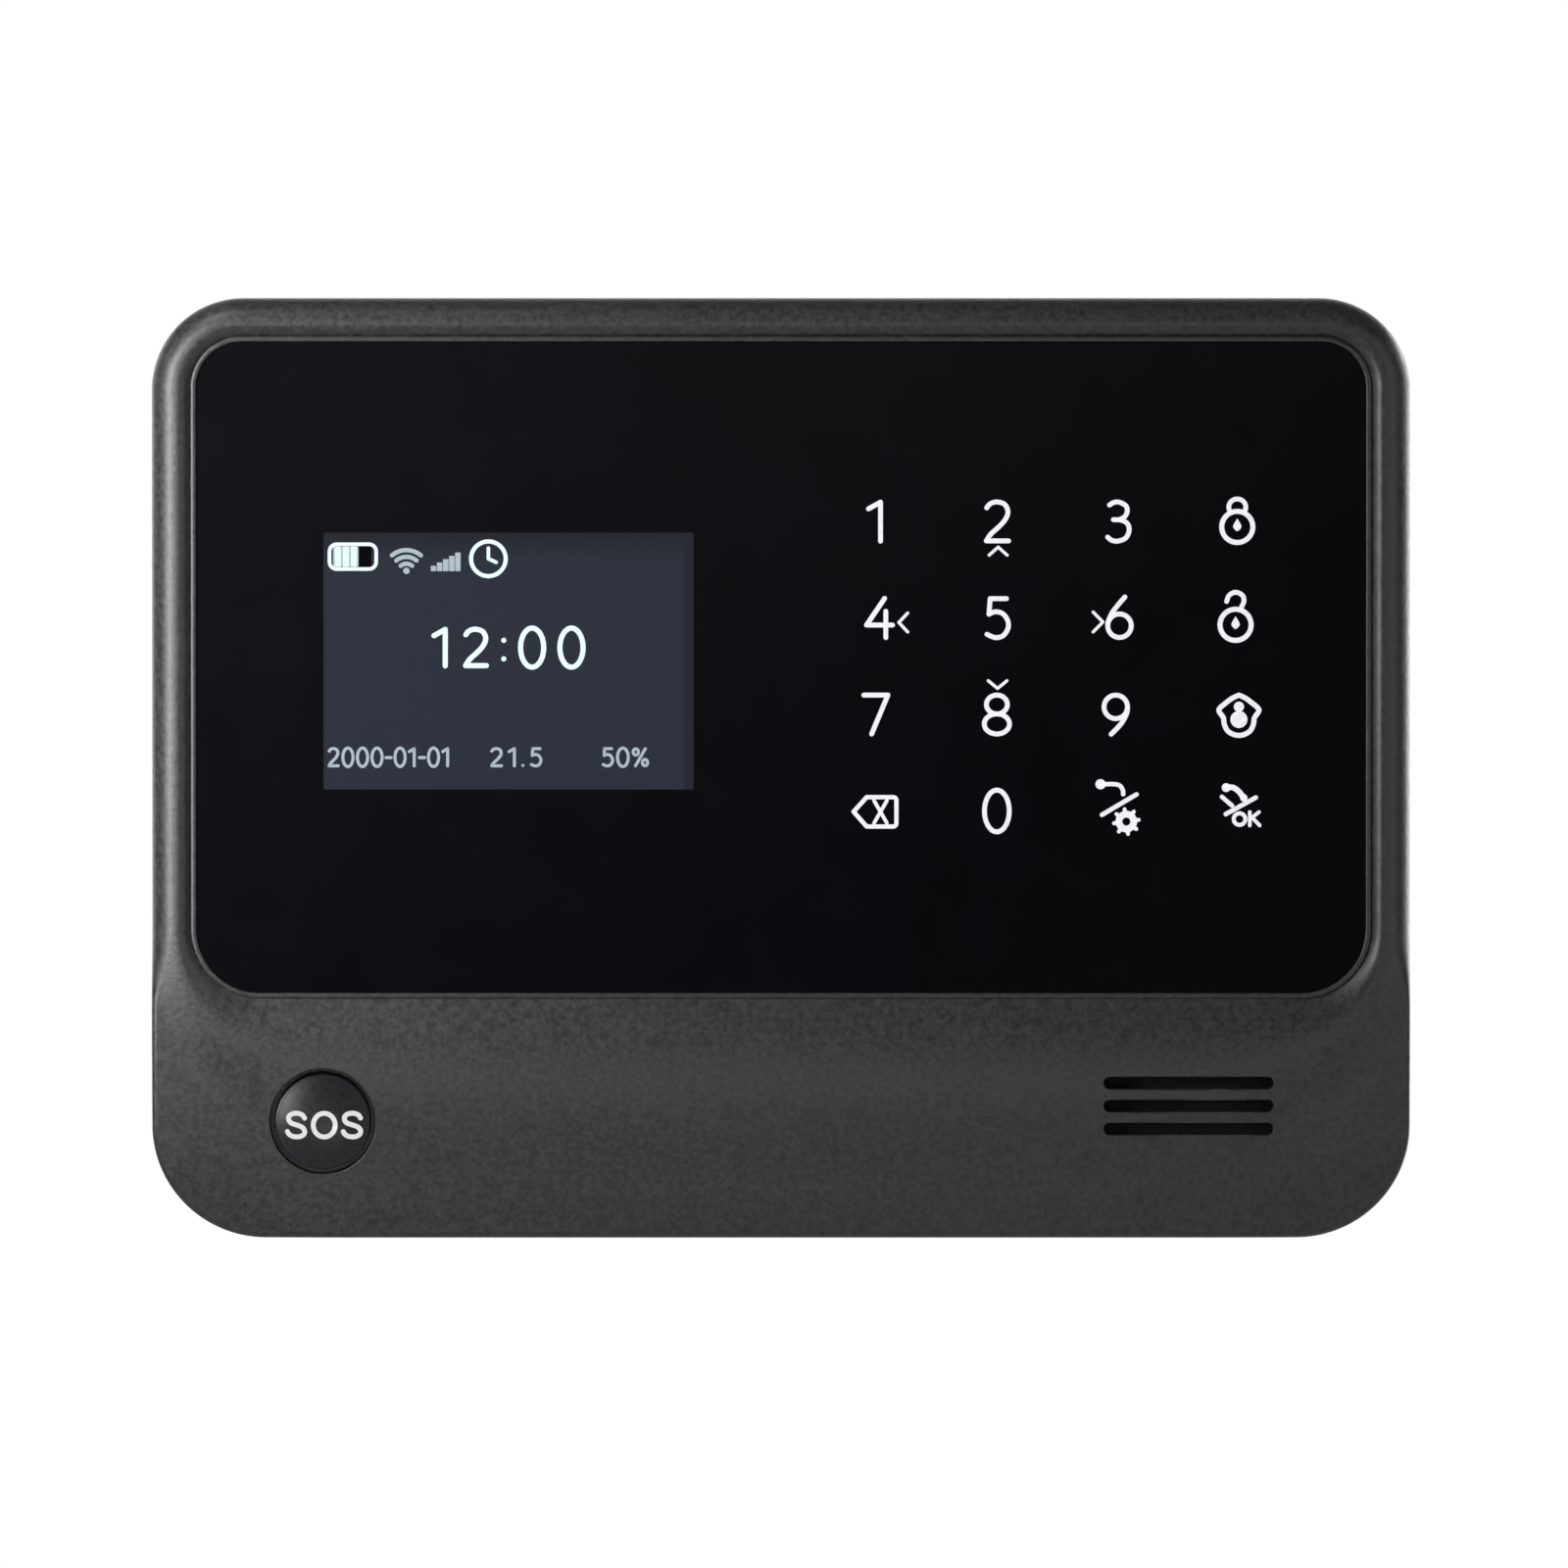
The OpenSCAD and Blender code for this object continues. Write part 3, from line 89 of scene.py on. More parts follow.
def make_camera(distance=2.0, elevation=1.3, sensor=36):
    face_y = cad_box[0].y + 3 * MM
    aim = ((IMAGE / 2 - PANEL_AT[0]) * PIXEL, face_y, (PANEL_AT[1] - IMAGE / 2) * PIXEL)
    e = math.radians(elevation)
    data = bpy.data.cameras.new("camera")
    data.sensor_width = sensor
    data.lens = sensor * distance / (IMAGE * PIXEL)
    data.clip_start, data.clip_end = 0.05, 50
    camera = add("camera", data)
    camera.location = (aim[0], aim[1] - distance * math.cos(e), aim[2] + distance * math.sin(e))
    camera.rotation_euler = (math.pi / 2 - e, 0, 0)
    scene.camera = camera


make_camera()


# ---- materials ----

def srgb(r, g, b):
    """Linear colour of an 8-bit sRGB colour."""
    def channel(v):
        v /= 255
        return v / 12.92 if v <= 0.04045 else ((v + 0.055) / 1.055) ** 2.4
    return channel(r), channel(g), channel(b)


class Graph:
    """A material's node tree, with short calls for the nodes that the materials share."""

    def __init__(self, name):
        self.material = bpy.data.materials.new(name)
        self.material.use_nodes = True
        self.tree = self.material.node_tree
        self.tree.nodes.clear()
        self.shader = self.node("ShaderNodeBsdfPrincipled")
        self.out = self.node("ShaderNodeOutputMaterial")
        self.link(self.shader.outputs[0], self.out.inputs["Surface"])
        self.place = self.node("ShaderNodeTexCoord").outputs["Object"]

    def node(self, kind, **values):
        n = self.tree.nodes.new(kind)
        for attribute, value in values.items():
            setattr(n, attribute, value)
        return n

    def link(self, a, b):
        self.tree.links.new(a, b)

    def feed(self, socket, value):
        """Gives an input another node's output, or a constant."""
        if isinstance(value, bpy.types.NodeSocket):
            self.link(value, socket)
        else:
            socket.default_value = value

    def set(self, **values):
        for name, value in values.items():
            self.feed(self.shader.inputs[name.replace("_", " ")], value)

    def texture(self, kind, size, output, place=None, **values):
        n = self.node(kind, **values)
        n.inputs["Scale"].default_value = size
        self.link(place or self.place, n.inputs["Vector"])
        return n.outputs[output]

    def noise(self, size_mm, detail=2, roughness=0.5, place=None):
        fac = self.texture("ShaderNodeTexNoise", 1 / (size_mm * MM), "Fac", place)
        fac.node.inputs["Detail"].default_value = detail
        fac.node.inputs["Roughness"].default_value = roughness
        return fac

    def cells(self, size_mm, feature="F1", place=None):
        return self.texture("ShaderNodeTexVoronoi", 1 / (size_mm * MM), "Distance", place, feature=feature)

    def waves(self, size_mm, way):
        return self.texture("ShaderNodeTexWave", 1 / (size_mm * MM), "Fac", bands_direction=way)

    def stretched(self, x, y, z):
        n = self.node("ShaderNodeMapping")
        n.inputs["Scale"].default_value = (x, y, z)
        self.link(self.place, n.inputs["Vector"])
        return n.outputs[0]

    def axis(self, name):
        n = self.node("ShaderNodeSeparateXYZ")
        self.link(self.place, n.inputs[0])
        return n.outputs[name]

    def between(self, fac, low, high, from_low=0.3, from_high=0.7):
        n = self.node("ShaderNodeMapRange")
        for socket, value in zip(n.inputs, (fac, from_low, from_high, low, high)):
            self.feed(socket, value)
        return n.outputs[0]

    def blend(self, fac, a, b, from_low=0.3, from_high=0.7):
        ramp = self.node("ShaderNodeValToRGB")
        ramp.color_ramp.elements[0].position, ramp.color_ramp.elements[1].position = from_low, from_high
        ramp.color_ramp.elements[0].color, ramp.color_ramp.elements[1].color = (*a, 1), (*b, 1)
        self.link(fac, ramp.inputs[0])
        return ramp.outputs[0]

    def mix(self, fac, a, b, **values):
        n = self.node("ShaderNodeMix", data_type="RGBA", **values)
        for i, value in ((0, fac), (6, a), (7, b)):
            self.feed(n.inputs[i], value)
        return n.outputs[2]

    def math(self, operation, a, b):
        n = self.node("ShaderNodeMath", operation=operation)
        for socket, value in zip(n.inputs, (a, b)):
            self.feed(socket, value)
        return n.outputs[0]

    def bump(self, height, depth_mm):
        n = self.node("ShaderNodeBump")
        n.inputs["Strength"].default_value = 1.0
        n.inputs["Distance"].default_value = depth_mm * MM
        self.link(height, n.inputs["Height"])
        self.link(n.outputs[0], self.shader.inputs["Normal"])


def tint(colour, factor):
    return tuple(min(1, c * factor) for c in colour)


def moulded(name, colour, rough, grain_mm=0.28, depth_mm=0.012, specular=0.5, mottle=0.10):
    """Moulded plastic with a spark-eroded texture: fine grain, faint mottling, slightly uneven gloss."""
    g = Graph(name)
    fine = g.noise(grain_mm, 3, 0.55)
    mixed = g.math("ADD", g.math("MULTIPLY", fine, 0.85), g.math("MULTIPLY", g.noise(3.2, 3, 0.6), 0.15))
    g.set(Base_Color=g.blend(mixed, tint(colour, 1 - mottle), tint(colour, 1 + mottle), 0.35, 0.65),
          Roughness=g.between(fine, rough - 0.05, rough + 0.06), Specular_IOR_Level=specular)
    if depth_mm:
        g.bump(fine, depth_mm)
    return g.material


def gloss(name, colour, rough):
    """Polished plastic or hard-coated glass: nearly even, with faint polish marks and smears."""
    g = Graph(name)
    smear = g.noise(9, 4, 0.6)
    wipe = g.noise(0.9, 2, 0.5, g.stretched(0.25, 1, 1))
    mixed = g.math("ADD", g.math("MULTIPLY", smear, 0.7), g.math("MULTIPLY", wipe, 0.3))
    g.set(Base_Color=g.blend(smear, tint(colour, 0.85), tint(colour, 1.15)),
          Roughness=g.between(mixed, rough * 0.7, rough * 1.5))
    g.bump(wipe, 0.0004)
    return g.material


def metal(name, colour, rough=0.3, brushed=(1, 1, 1), depth_mm=0.002, face_y=None):
    """Plated or drawn metal, with fine lines along the way it was worked.

    Where face_y is given, the metal behind that plane carries painted shade, dark as the shadowed bottom of
    a recess.
    """
    g = Graph(name)
    worked = g.noise(0.35, 3, 0.6, g.stretched(*brushed))
    tone_and_painted_shade = g.blend(g.noise(2.5, 3, 0.6), tint(colour, 0.86), tint(colour, 1.08))
    if face_y is not None:
        # painted shade: metal more than 0.1 mm behind the head's face darkens to a tenth of its colour
        depth = g.between(g.axis("Y"), 0, 1, face_y - 0.3 * MM, face_y - 0.1 * MM)
        tone_and_painted_shade = g.mix(depth, (*tint(colour, 0.1), 1), tone_and_painted_shade)
    g.set(Base_Color=tone_and_painted_shade, Roughness=g.between(worked, rough - 0.08, rough + 0.12), Metallic=1.0)
    g.bump(worked, depth_mm)
    return g.material


def foam(name, colour):
    """Closed-cell foam: small round cells that catch little light."""
    g = Graph(name)
    cell = g.cells(0.35)
    g.set(Base_Color=g.blend(cell, tint(colour, 1.25), tint(colour, 0.6), 0.1, 0.8),
          Roughness=0.95, Specular_IOR_Level=0.2)
    g.bump(cell, 0.06)
    return g.material


def circuit_board(name, colour):
    """Green solder mask over copper: branching tracks stand a little proud of the laminate."""
    g = Graph(name)
    track = g.between(g.cells(2.6, "DISTANCE_TO_EDGE", g.stretched(1, 0.2, 1)), 1, 0, 0.05, 0.08)
    g.set(Base_Color=g.blend(track, tint(colour, 0.8), tint(colour, 1.6), 0.2, 0.8),
          Roughness=g.between(g.noise(0.5), 0.28, 0.42))
    g.bump(track, 0.03)
    return g.material


def film(name, colour):
    """Amber film over copper lines that run along the cable."""
    g = Graph(name)
    stripe = g.waves(3.2, "X")
    g.set(Base_Color=g.blend(stripe, tint(colour, 0.6), tint(colour, 1.15)), Roughness=0.25,
          Specular_IOR_Level=0.6)
    g.bump(stripe, 0.01)
    return g.material


def pouch(name, colour):
    """Laminated aluminium pouch: satin, softly crinkled over the cell."""
    g = Graph(name)
    crinkle = g.noise(7, 5, 0.55)
    g.set(Base_Color=g.blend(crinkle, tint(colour, 0.9), tint(colour, 1.1)),
          Roughness=g.between(g.noise(0.4), 0.32, 0.46), Metallic=0.85)
    g.bump(crinkle, 0.25)
    return g.material


def woven(name, colour, pitch_mm=0.45):
    """Fine woven dust mesh: two crossed sets of threads with dark gaps between them."""
    g = Graph(name)
    size_mm = pitch_mm / 0.314  # a wave texture's bands are 0.314 of its size apart
    thread = g.math("MAXIMUM", g.waves(size_mm, "X"), g.waves(size_mm, "Z"))
    g.set(Base_Color=g.blend(thread, tint(colour, 0.25), tint(colour, 1.5), 0.35, 0.85),
          Roughness=0.7, Specular_IOR_Level=0.3)
    g.bump(thread, 0.08)
    return g.material


def paper(name, colour):
    """Pressed paper pulp: felted fibres with a soft surface."""
    g = Graph(name)
    fibre = g.noise(0.6, 6, 0.7)
    g.set(Base_Color=g.blend(fibre, tint(colour, 0.6), tint(colour, 1.5)), Roughness=0.9,
          Specular_IOR_Level=0.2)
    g.bump(fibre, 0.08)
    return g.material


def lit_ink(name, colour, strength):
    """Ink that looks lit from behind: nearly even, with faint dots."""
    g = Graph(name)
    dots = g.noise(0.5)
    g.set(Base_Color=g.blend(dots, tint(colour, 0.2), tint(colour, 0.25)), Roughness=0.08,
          Specular_IOR_Level=0.3, Emission_Color=g.blend(dots, tint(colour, 0.92), colour),
          Emission_Strength=strength)
    return g.material


record_colours = {m["slot"]: tuple(m["base_color"]) for m in frame["record"]["materials"]}


def slot_colour(slot):
    return record_colours[slot][:3]


# roughness, grain and its depth in mm, specular level and mottling
MOULDED = {
    "bracket_plastic": (0.5, 0.5, 0.012), "button_black": (0.3, 0.6, 0, 0.45),
    "slide_black": (0.38, 0.35, 0.006), "switch_black": (0.45, 0.4, 0.006), "chip_black": (0.55, 0.2, 0.01),
    "lead_red": (0.4, 0.4, 0.004), "guide_white": (0.35, 0.6, 0.003, 0.5, 0.03),
    "plug_white": (0.4, 0.5, 0.004, 0.5, 0.04), "plunger_white": (0.42, 0.5, 0.004, 0.5, 0.04),
}
# roughness, and the scale of the lines along each axis
METAL = {
    "screw_steel": (0.28, (1, 0.15, 1)), "sheet_steel": (0.34, (0.15, 1, 1)), "can_alu": (0.3, (1, 0.1, 1)),
    "pad_brass": (0.3,), "speaker_steel": (0.4,),
}
OTHERS = {
    "housing_plastic": lambda n, c: moulded(n, tint(c, 0.62), 0.40, 0.8, 0.045, 0.7, 0.45),
    "lens_black": lambda n, c: gloss(n, (c[0] * 0.7, c[1] * 0.7, c[2] * 0.85), 0.03),
    "screen_glass": lambda n, c: gloss(n, c, 0.05),
    "adhesive_black": foam, "foam_grey": foam, "flex_amber": film, "board_green": circuit_board,
    "module_blue": circuit_board, "pouch_silver": pouch, "paper_black": paper, "mesh_black": woven,
}


def make_material(slot):
    name, colour = "mat_" + slot, slot_colour(slot)
    for maker, rows in ((moulded, MOULDED), (metal, METAL)):
        if slot in rows:
            return maker(name, colour, *rows[slot])
    return OTHERS[slot](name, colour)


materials = {slot: make_material(slot) for slot in record_colours}


def slot_of(node):
    row = next(s for s in frame["record"]["subparts"] if s["node"] == node)
    return row["material_slot"]


def dress(node):
    """Gives a CAD node its slot's material and shades its curved faces smoothly."""
    o = frame["nodes"][node]
    o.data.materials.clear()
    o.data.materials.append(materials[slot_of(node)])
    o.data.shade_smooth()
    o.data.set_sharp_from_angle(angle=math.radians(30))


for node in frame["nodes"]:
    dress(node)
# the housing screws' heads face backwards, and their metal carries painted shade in the cross recess
frame["nodes"]["housing_screws"].data.materials[0] = metal(
    "mat_housing_screws", tint(slot_colour("screw_steel"), 0.7), 0.34, (1, 0.15, 1), 0.001,
    face_y=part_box("housing_screws")[1].y)


# ---- the front housing ----
# The CAD node's own forms, drawn finely, with its openings' edges softened as a mould leaves them.
# Everything here is in mm in the panel's own axes: x to the right, y up and z out from the wall.

def box_mm(node):
    lo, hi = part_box(node)
    return (lo.x / MM, lo.z / MM, -hi.y / MM), (hi.x / MM, hi.z / MM, -lo.y / MM)


def middle(node):
    """A node's middle as seen from the front, and half its width."""
    (x0, y0, _), (x1, y1, _) = box_mm(node)
    return (x0 + x1) / 2, (y0 + y1) / 2, (x1 - x0) / 2


(_, shell_y0, _), (shell_x1, shell_y1, BODY_Z) = box_mm("front_housing")
(_, glass_y0, glass_z0), (glass_x1, glass_y1, LENS_Z) = box_mm("touch_lens")
# an outline is half width, top, bottom, top corner radius and bottom corner radius
BODY = (shell_x1, shell_y1, shell_y0, 13.0, 16.0)
LENS = (glass_x1, glass_y1, glass_y0, 6.4, 9.0)
PART_Z = 13.0  # the parting line between the two housings
SEAM_W, SEAM_D = 0.22, 0.25  # the fine step along it
BEAD_W, BEAD_H, RISE = 0.95, 0.35, 1.2  # the bead round the lens, and the crest's height over the lens
EDGE_R, CHIN_EDGE_R, EDGE_RUN = 3.0, 0.8, 12.0  # the outer edge's radius, and the run over which it shrinks
SIDE_CREST, CHIN_CREST, CREST_RUN = 2.7, 11.0, 27.0  # how far the crest stands from the lens, and its run
RIM_FALL, RIM_FLANK, CHIN_FALL = 0.8, 1.5, 2.3  # the crown's falls past its crest
CHIN_SINK = CHIN_FALL - 1.4  # how much lower the chin ends here than in the solid
CHIN_H = LENS[2] - BODY[2]
CORNER_X, CORNER_Y = LENS[0] - LENS[4], LENS[2] + LENS[4]
WALL, ROOF = 2.2, 2.35  # the housing's walls, and its thickness over the vault behind the chin
VAULT_R = 150  # the radius of that vault
# the posts inside, and the pilot holes of those that take screws
CORNER_R, CORNER_FOOT_Z, CORNER_PILOT = 3.3, 9.1, (1.3, 8, 17.1)
BOARD_MID_X, BOARD_POST_R, BOARD_PILOT_R = -16, 2.8, 1.0
SPEAKER_POST_R, STAKE_R, SHOULDER_R = 2.2, 1.0, 1.9
# how far in from the box round all of them the middles of the outer screws are, and of the stakes
HOUSING_HEAD_R, BOARD_HEAD_R, SPEAKER_HEAD_R, STAKE_INSET = 2.7, 2.0, 2.9, 3.0
BUTTON_HOLE_R, SEAT_DROP = 7.5, 4.05  # the button's hole, and how deep the seat of its flange lies
SLOT_L, SLOT_W, SLOT_R, SLOT_PITCH = 24, 1.72, 0.85, 3.26  # the speaker's three slots


def core(o, x, y):
    """Nearest point of an outline's core, the corner radius that belongs to it, and where it is a side."""
    r = np.where(y > (o[1] + o[2]) / 2, o[3], o[4])
    cy = np.clip(y, o[2] + o[4], o[1] - o[3])
    side = cy == y
    return np.where(side, np.sign(x) * (o[0] - r), np.clip(x, r - o[0], o[0] - r)), cy, r, side


def beyond(o, x, y):
    cx, cy, r, side = core(o, x, y)
    return np.where(side, abs(x) - abs(cx), np.hypot(x - cx, y - cy)) - r


def outward(o, x, y):
    cx, cy, _, _ = core(o, x, y)
    length = np.maximum(np.hypot(x - cx, y - cy), 1e-9)
    return (x - cx) / length, (y - cy) / length


def ease(t):
    t = np.clip(t, 0, 1)
    return t * t * (3 - 2 * t)


def slope_free(x, y):
    """The crown's height without its rounded outer edge."""
    d = beyond(LENS, x, y)
    cx, cy, r, _ = core(LENS, x, y)
    turn = np.arcsin(np.clip((cy - y) / np.maximum(np.hypot(x - cx, y - cy), 1e-9), 0, 1))
    run = np.where(turn > 0, r * turn + CORNER_X - abs(cx), 0)
    crest = SIDE_CREST + (CHIN_CREST - SIDE_CREST) * ease(run / CREST_RUN)
    climb = np.clip((d - BEAD_W) / (crest - BEAD_W), 0, 1)
    past = np.maximum(0, d - crest)
    return (LENS_Z + RISE * climb * (2 - climb) - RIM_FALL * ease(past / (RIM_FLANK * crest))
            - CHIN_FALL * (past / (CHIN_H - CHIN_CREST)) ** 2)


def edge_r(y):
    return EDGE_R + (CHIN_EDGE_R - EDGE_R) * ease((CORNER_Y - y) / EDGE_RUN)


def edge_at(x, y):
    return np.clip(1 + beyond(BODY, x, y) / edge_r(y), 0, 1)


def crown(x, y):
    e = edge_at(x, y)
    return slope_free(x, y) - edge_r(y) * (1 - np.sqrt(1 - e * e))


def crown_normals(x, y):
    e, h = edge_at(x, y), 0.02
    gx = (slope_free(x + h, y) - slope_free(x - h, y)) / (2 * h)
    gy = (slope_free(x, y + h) - slope_free(x, y - h)) / (2 * h)
    ox, oy = outward(BODY, x, y)
    up = np.sqrt(1 - e * e)
    return np.stack([-gx * up + e * ox, -gy * up + e * oy, up], 1)


def bead_normals(x, y):
    turn = np.arccos(np.clip(1 - 2 * beyond(LENS, x, y) / BEAD_W, -1, 1))
    ox, oy = outward(LENS, x, y)
    lean = -BEAD_H * np.cos(turn)
    return np.stack([lean * ox, lean * oy, BEAD_W / 2 * np.sin(turn) + 1e-6], 1)


def on_circle(x, y, r, degrees):
    return x + r * math.cos(math.radians(degrees)), y + r * math.sin(math.radians(degrees))


def edge_stations(corner=36, side=36, chin=40):
    """Points round the body's edge. Below the lens's lower corners they fan out by equal angles."""
    w, t, b, rt, rb = BODY
    fan = math.atan((CORNER_Y - (b + rb)) / (w - CORNER_X))

    def turn(x, y, r, start):
        return [on_circle(x, y, r, start + 90 * i / corner) for i in range(corner + 1)]

    side_y = [CORNER_Y - (w - CORNER_X) * math.tan(fan * i / side) for i in range(side)]
    return np.array(
        turn(w - rt, t - rt, rt, 0) + [(w - rt - (w - rt) * 2 * i / chin, t) for i in range(1, chin)]
        + turn(rt - w, t - rt, rt, 90) + [(-w, y) for y in side_y]
        + turn(rb - w, b + rb, rb, 180) + [(rb - w + (w - rb) * 2 * i / chin, b) for i in range(1, chin)]
        + turn(w - rb, b + rb, rb, 270) + [(w, y) for y in side_y[::-1]])


def crown_rings(bead=14, mid=64, edge=18, tuck=1.15):
    """Rings of the crown, from the parting line over the edge, the rim and the bead to inside the lens."""
    q = edge_stations()
    cx, cy, r, _ = core(LENS, q[:, 0], q[:, 1])
    k = np.stack([cx, cy], 1)
    way = (q - k) / np.linalg.norm(q - k, axis=1)[:, None]
    p = k + r[:, None] * way
    line = (q - p) / np.linalg.norm(q - p, axis=1)[:, None]
    out = np.stack(outward(BODY, q[:, 0], q[:, 1]), 1)
    lean = 1 / (line * out).sum(1)

    def ring(s, z):
        return np.column_stack([s, z * np.ones(len(s))])

    def inset(d):
        return q - line * (d * lean)[:, None]

    rings = [ring(inset(SEAM_D), PART_Z), ring(inset(SEAM_D), PART_Z + SEAM_W),
             ring(q, PART_Z + SEAM_W + 0.05)]
    for i in range(edge + 1):
        s = inset(edge_r(q[:, 1]) * (1 - math.cos(math.pi / 2 * i / edge)))
        rings.append(ring(s, crown(s[:, 0], s[:, 1])))
    a = p + BEAD_W * line
    for i in range(1, mid):
        s = inset(edge_r(q[:, 1])) * (1 - i / mid) + a * (i / mid)
        rings.append(ring(s, crown(s[:, 0], s[:, 1])))
    for i in range(bead, -1, -1):
        rings.append(ring(p + BEAD_W * (1 - math.cos(math.pi * i / bead)) / 2 * line,
                          LENS_Z + BEAD_H * math.sin(math.pi * i / bead)))
    rings.append(ring(p - tuck * line, LENS_Z))
    return rings


def solid(name, rings):
    """A closed mesh through rings of points."""
    n = len(rings[0])
    verts = [tuple(v) for ring in rings for v in ring]
    faces = [(j * n + i, j * n + (i + 1) % n, (j + 1) * n + (i + 1) % n, (j + 1) * n + i)
             for j in range(len(rings) - 1) for i in range(n)]
    for ring, base, flip in ((rings[0], 0, True), (rings[-1], (len(rings) - 1) * n, False)):
        verts.append(tuple(np.mean(np.array(ring), axis=0)))
        for i in range(n):
            pair = base + i, base + (i + 1) % n
            faces.append((len(verts) - 1, *(pair[::-1] if flip else pair)))
    mesh = bpy.data.meshes.new(name)
    mesh.from_pydata([(x * MM, -z * MM, y * MM) for x, y, z in verts], [], faces)
    return add(name, mesh)


def grown(o, by):
    """An outline grown outwards, with its corners' radii."""
    return o[0] + by, o[1] + by, o[2] - by, o[3] + by, o[4] + by


def outline(o, steps=16):
    """Points round an outline."""
    w, t, b, rt, rb = o
    corners = ((w - rt, t - rt, rt, 0), (rt - w, t - rt, rt, 90),
               (rb - w, b + rb, rb, 180), (w - rb, b + rb, rb, 270))
    return [on_circle(x, y, r, a + 90 * i / steps) for x, y, r, a in corners for i in range(steps + 1)]


def prism(o, low, high, x=0.0, y=0.0, steps=16):
    points = outline(o, steps)
    return solid("tool", [[(x + px, y + py, z) for px, py in points] for z in (low, high)])


def pad(w, h, r):
    return w / 2, h / 2, -h / 2, r, r


def post(x, y, r, low, high, steps=16):
    return prism((r, r, -r, r, r), low, high, x, y, steps)


def lip(o, x, y, width):
    """Softens the edge where an opening meets the crown."""
    rings = []
    for grow, lift in ((0, -2.2), (0, -1), (0.3, -0.3), (1, 0), (2.2, 1)):
        rings.append([(x + px, y + py, float(crown(np.array(x + px), np.array(y + py))) + lift * width)
                      for px, py in outline(grown(o, grow * width))])
    return solid("tool", rings)


def spots(box, inset):
    """The four places inset from a box's corners, as the centres of four like screws are."""
    (x0, y0, _), (x1, y1, _) = box
    return [(x, y) for x in (x0 + inset, x1 - inset) for y in (y0 + inset, y1 - inset)]


def opening(box, radius, low, high, play=0.6):
    """A hole through the web for a piece that shows its face."""
    (x0, y0, _), (x1, y1, _) = box
    return prism(pad(x1 - x0 + play, y1 - y0 + play, radius), low, high, (x0 + x1) / 2, (y0 + y1) / 2)


def vault():
    """The hollow behind the chin, a long cylinder under its crest between the walls, and its ceiling."""
    inner = grown(BODY, -WALL)
    crest_y, corner_y, corner_r = LENS[2] - CHIN_CREST, inner[2] + inner[4], inner[4]

    def ceiling(y):
        past = max(0, crest_y - y) / (CHIN_H - CHIN_CREST)
        return BODY_Z - ROOF - VAULT_R + math.sqrt(VAULT_R ** 2 - (y - crest_y) ** 2) - CHIN_SINK * past ** 2

    def half(y):
        down = max(0, corner_y - y)
        return inner[0] - (corner_r - math.sqrt(max(0, corner_r ** 2 - down ** 2)))

    rings = []
    for y in np.linspace(LENS[2] - WALL, inner[2], 24):
        rings.append([(-half(y), y, PART_Z - 0.5), (half(y), y, PART_Z - 0.5),
                      (half(y), y, ceiling(y)), (-half(y), y, ceiling(y))])
    return solid("tool", rings), ceiling


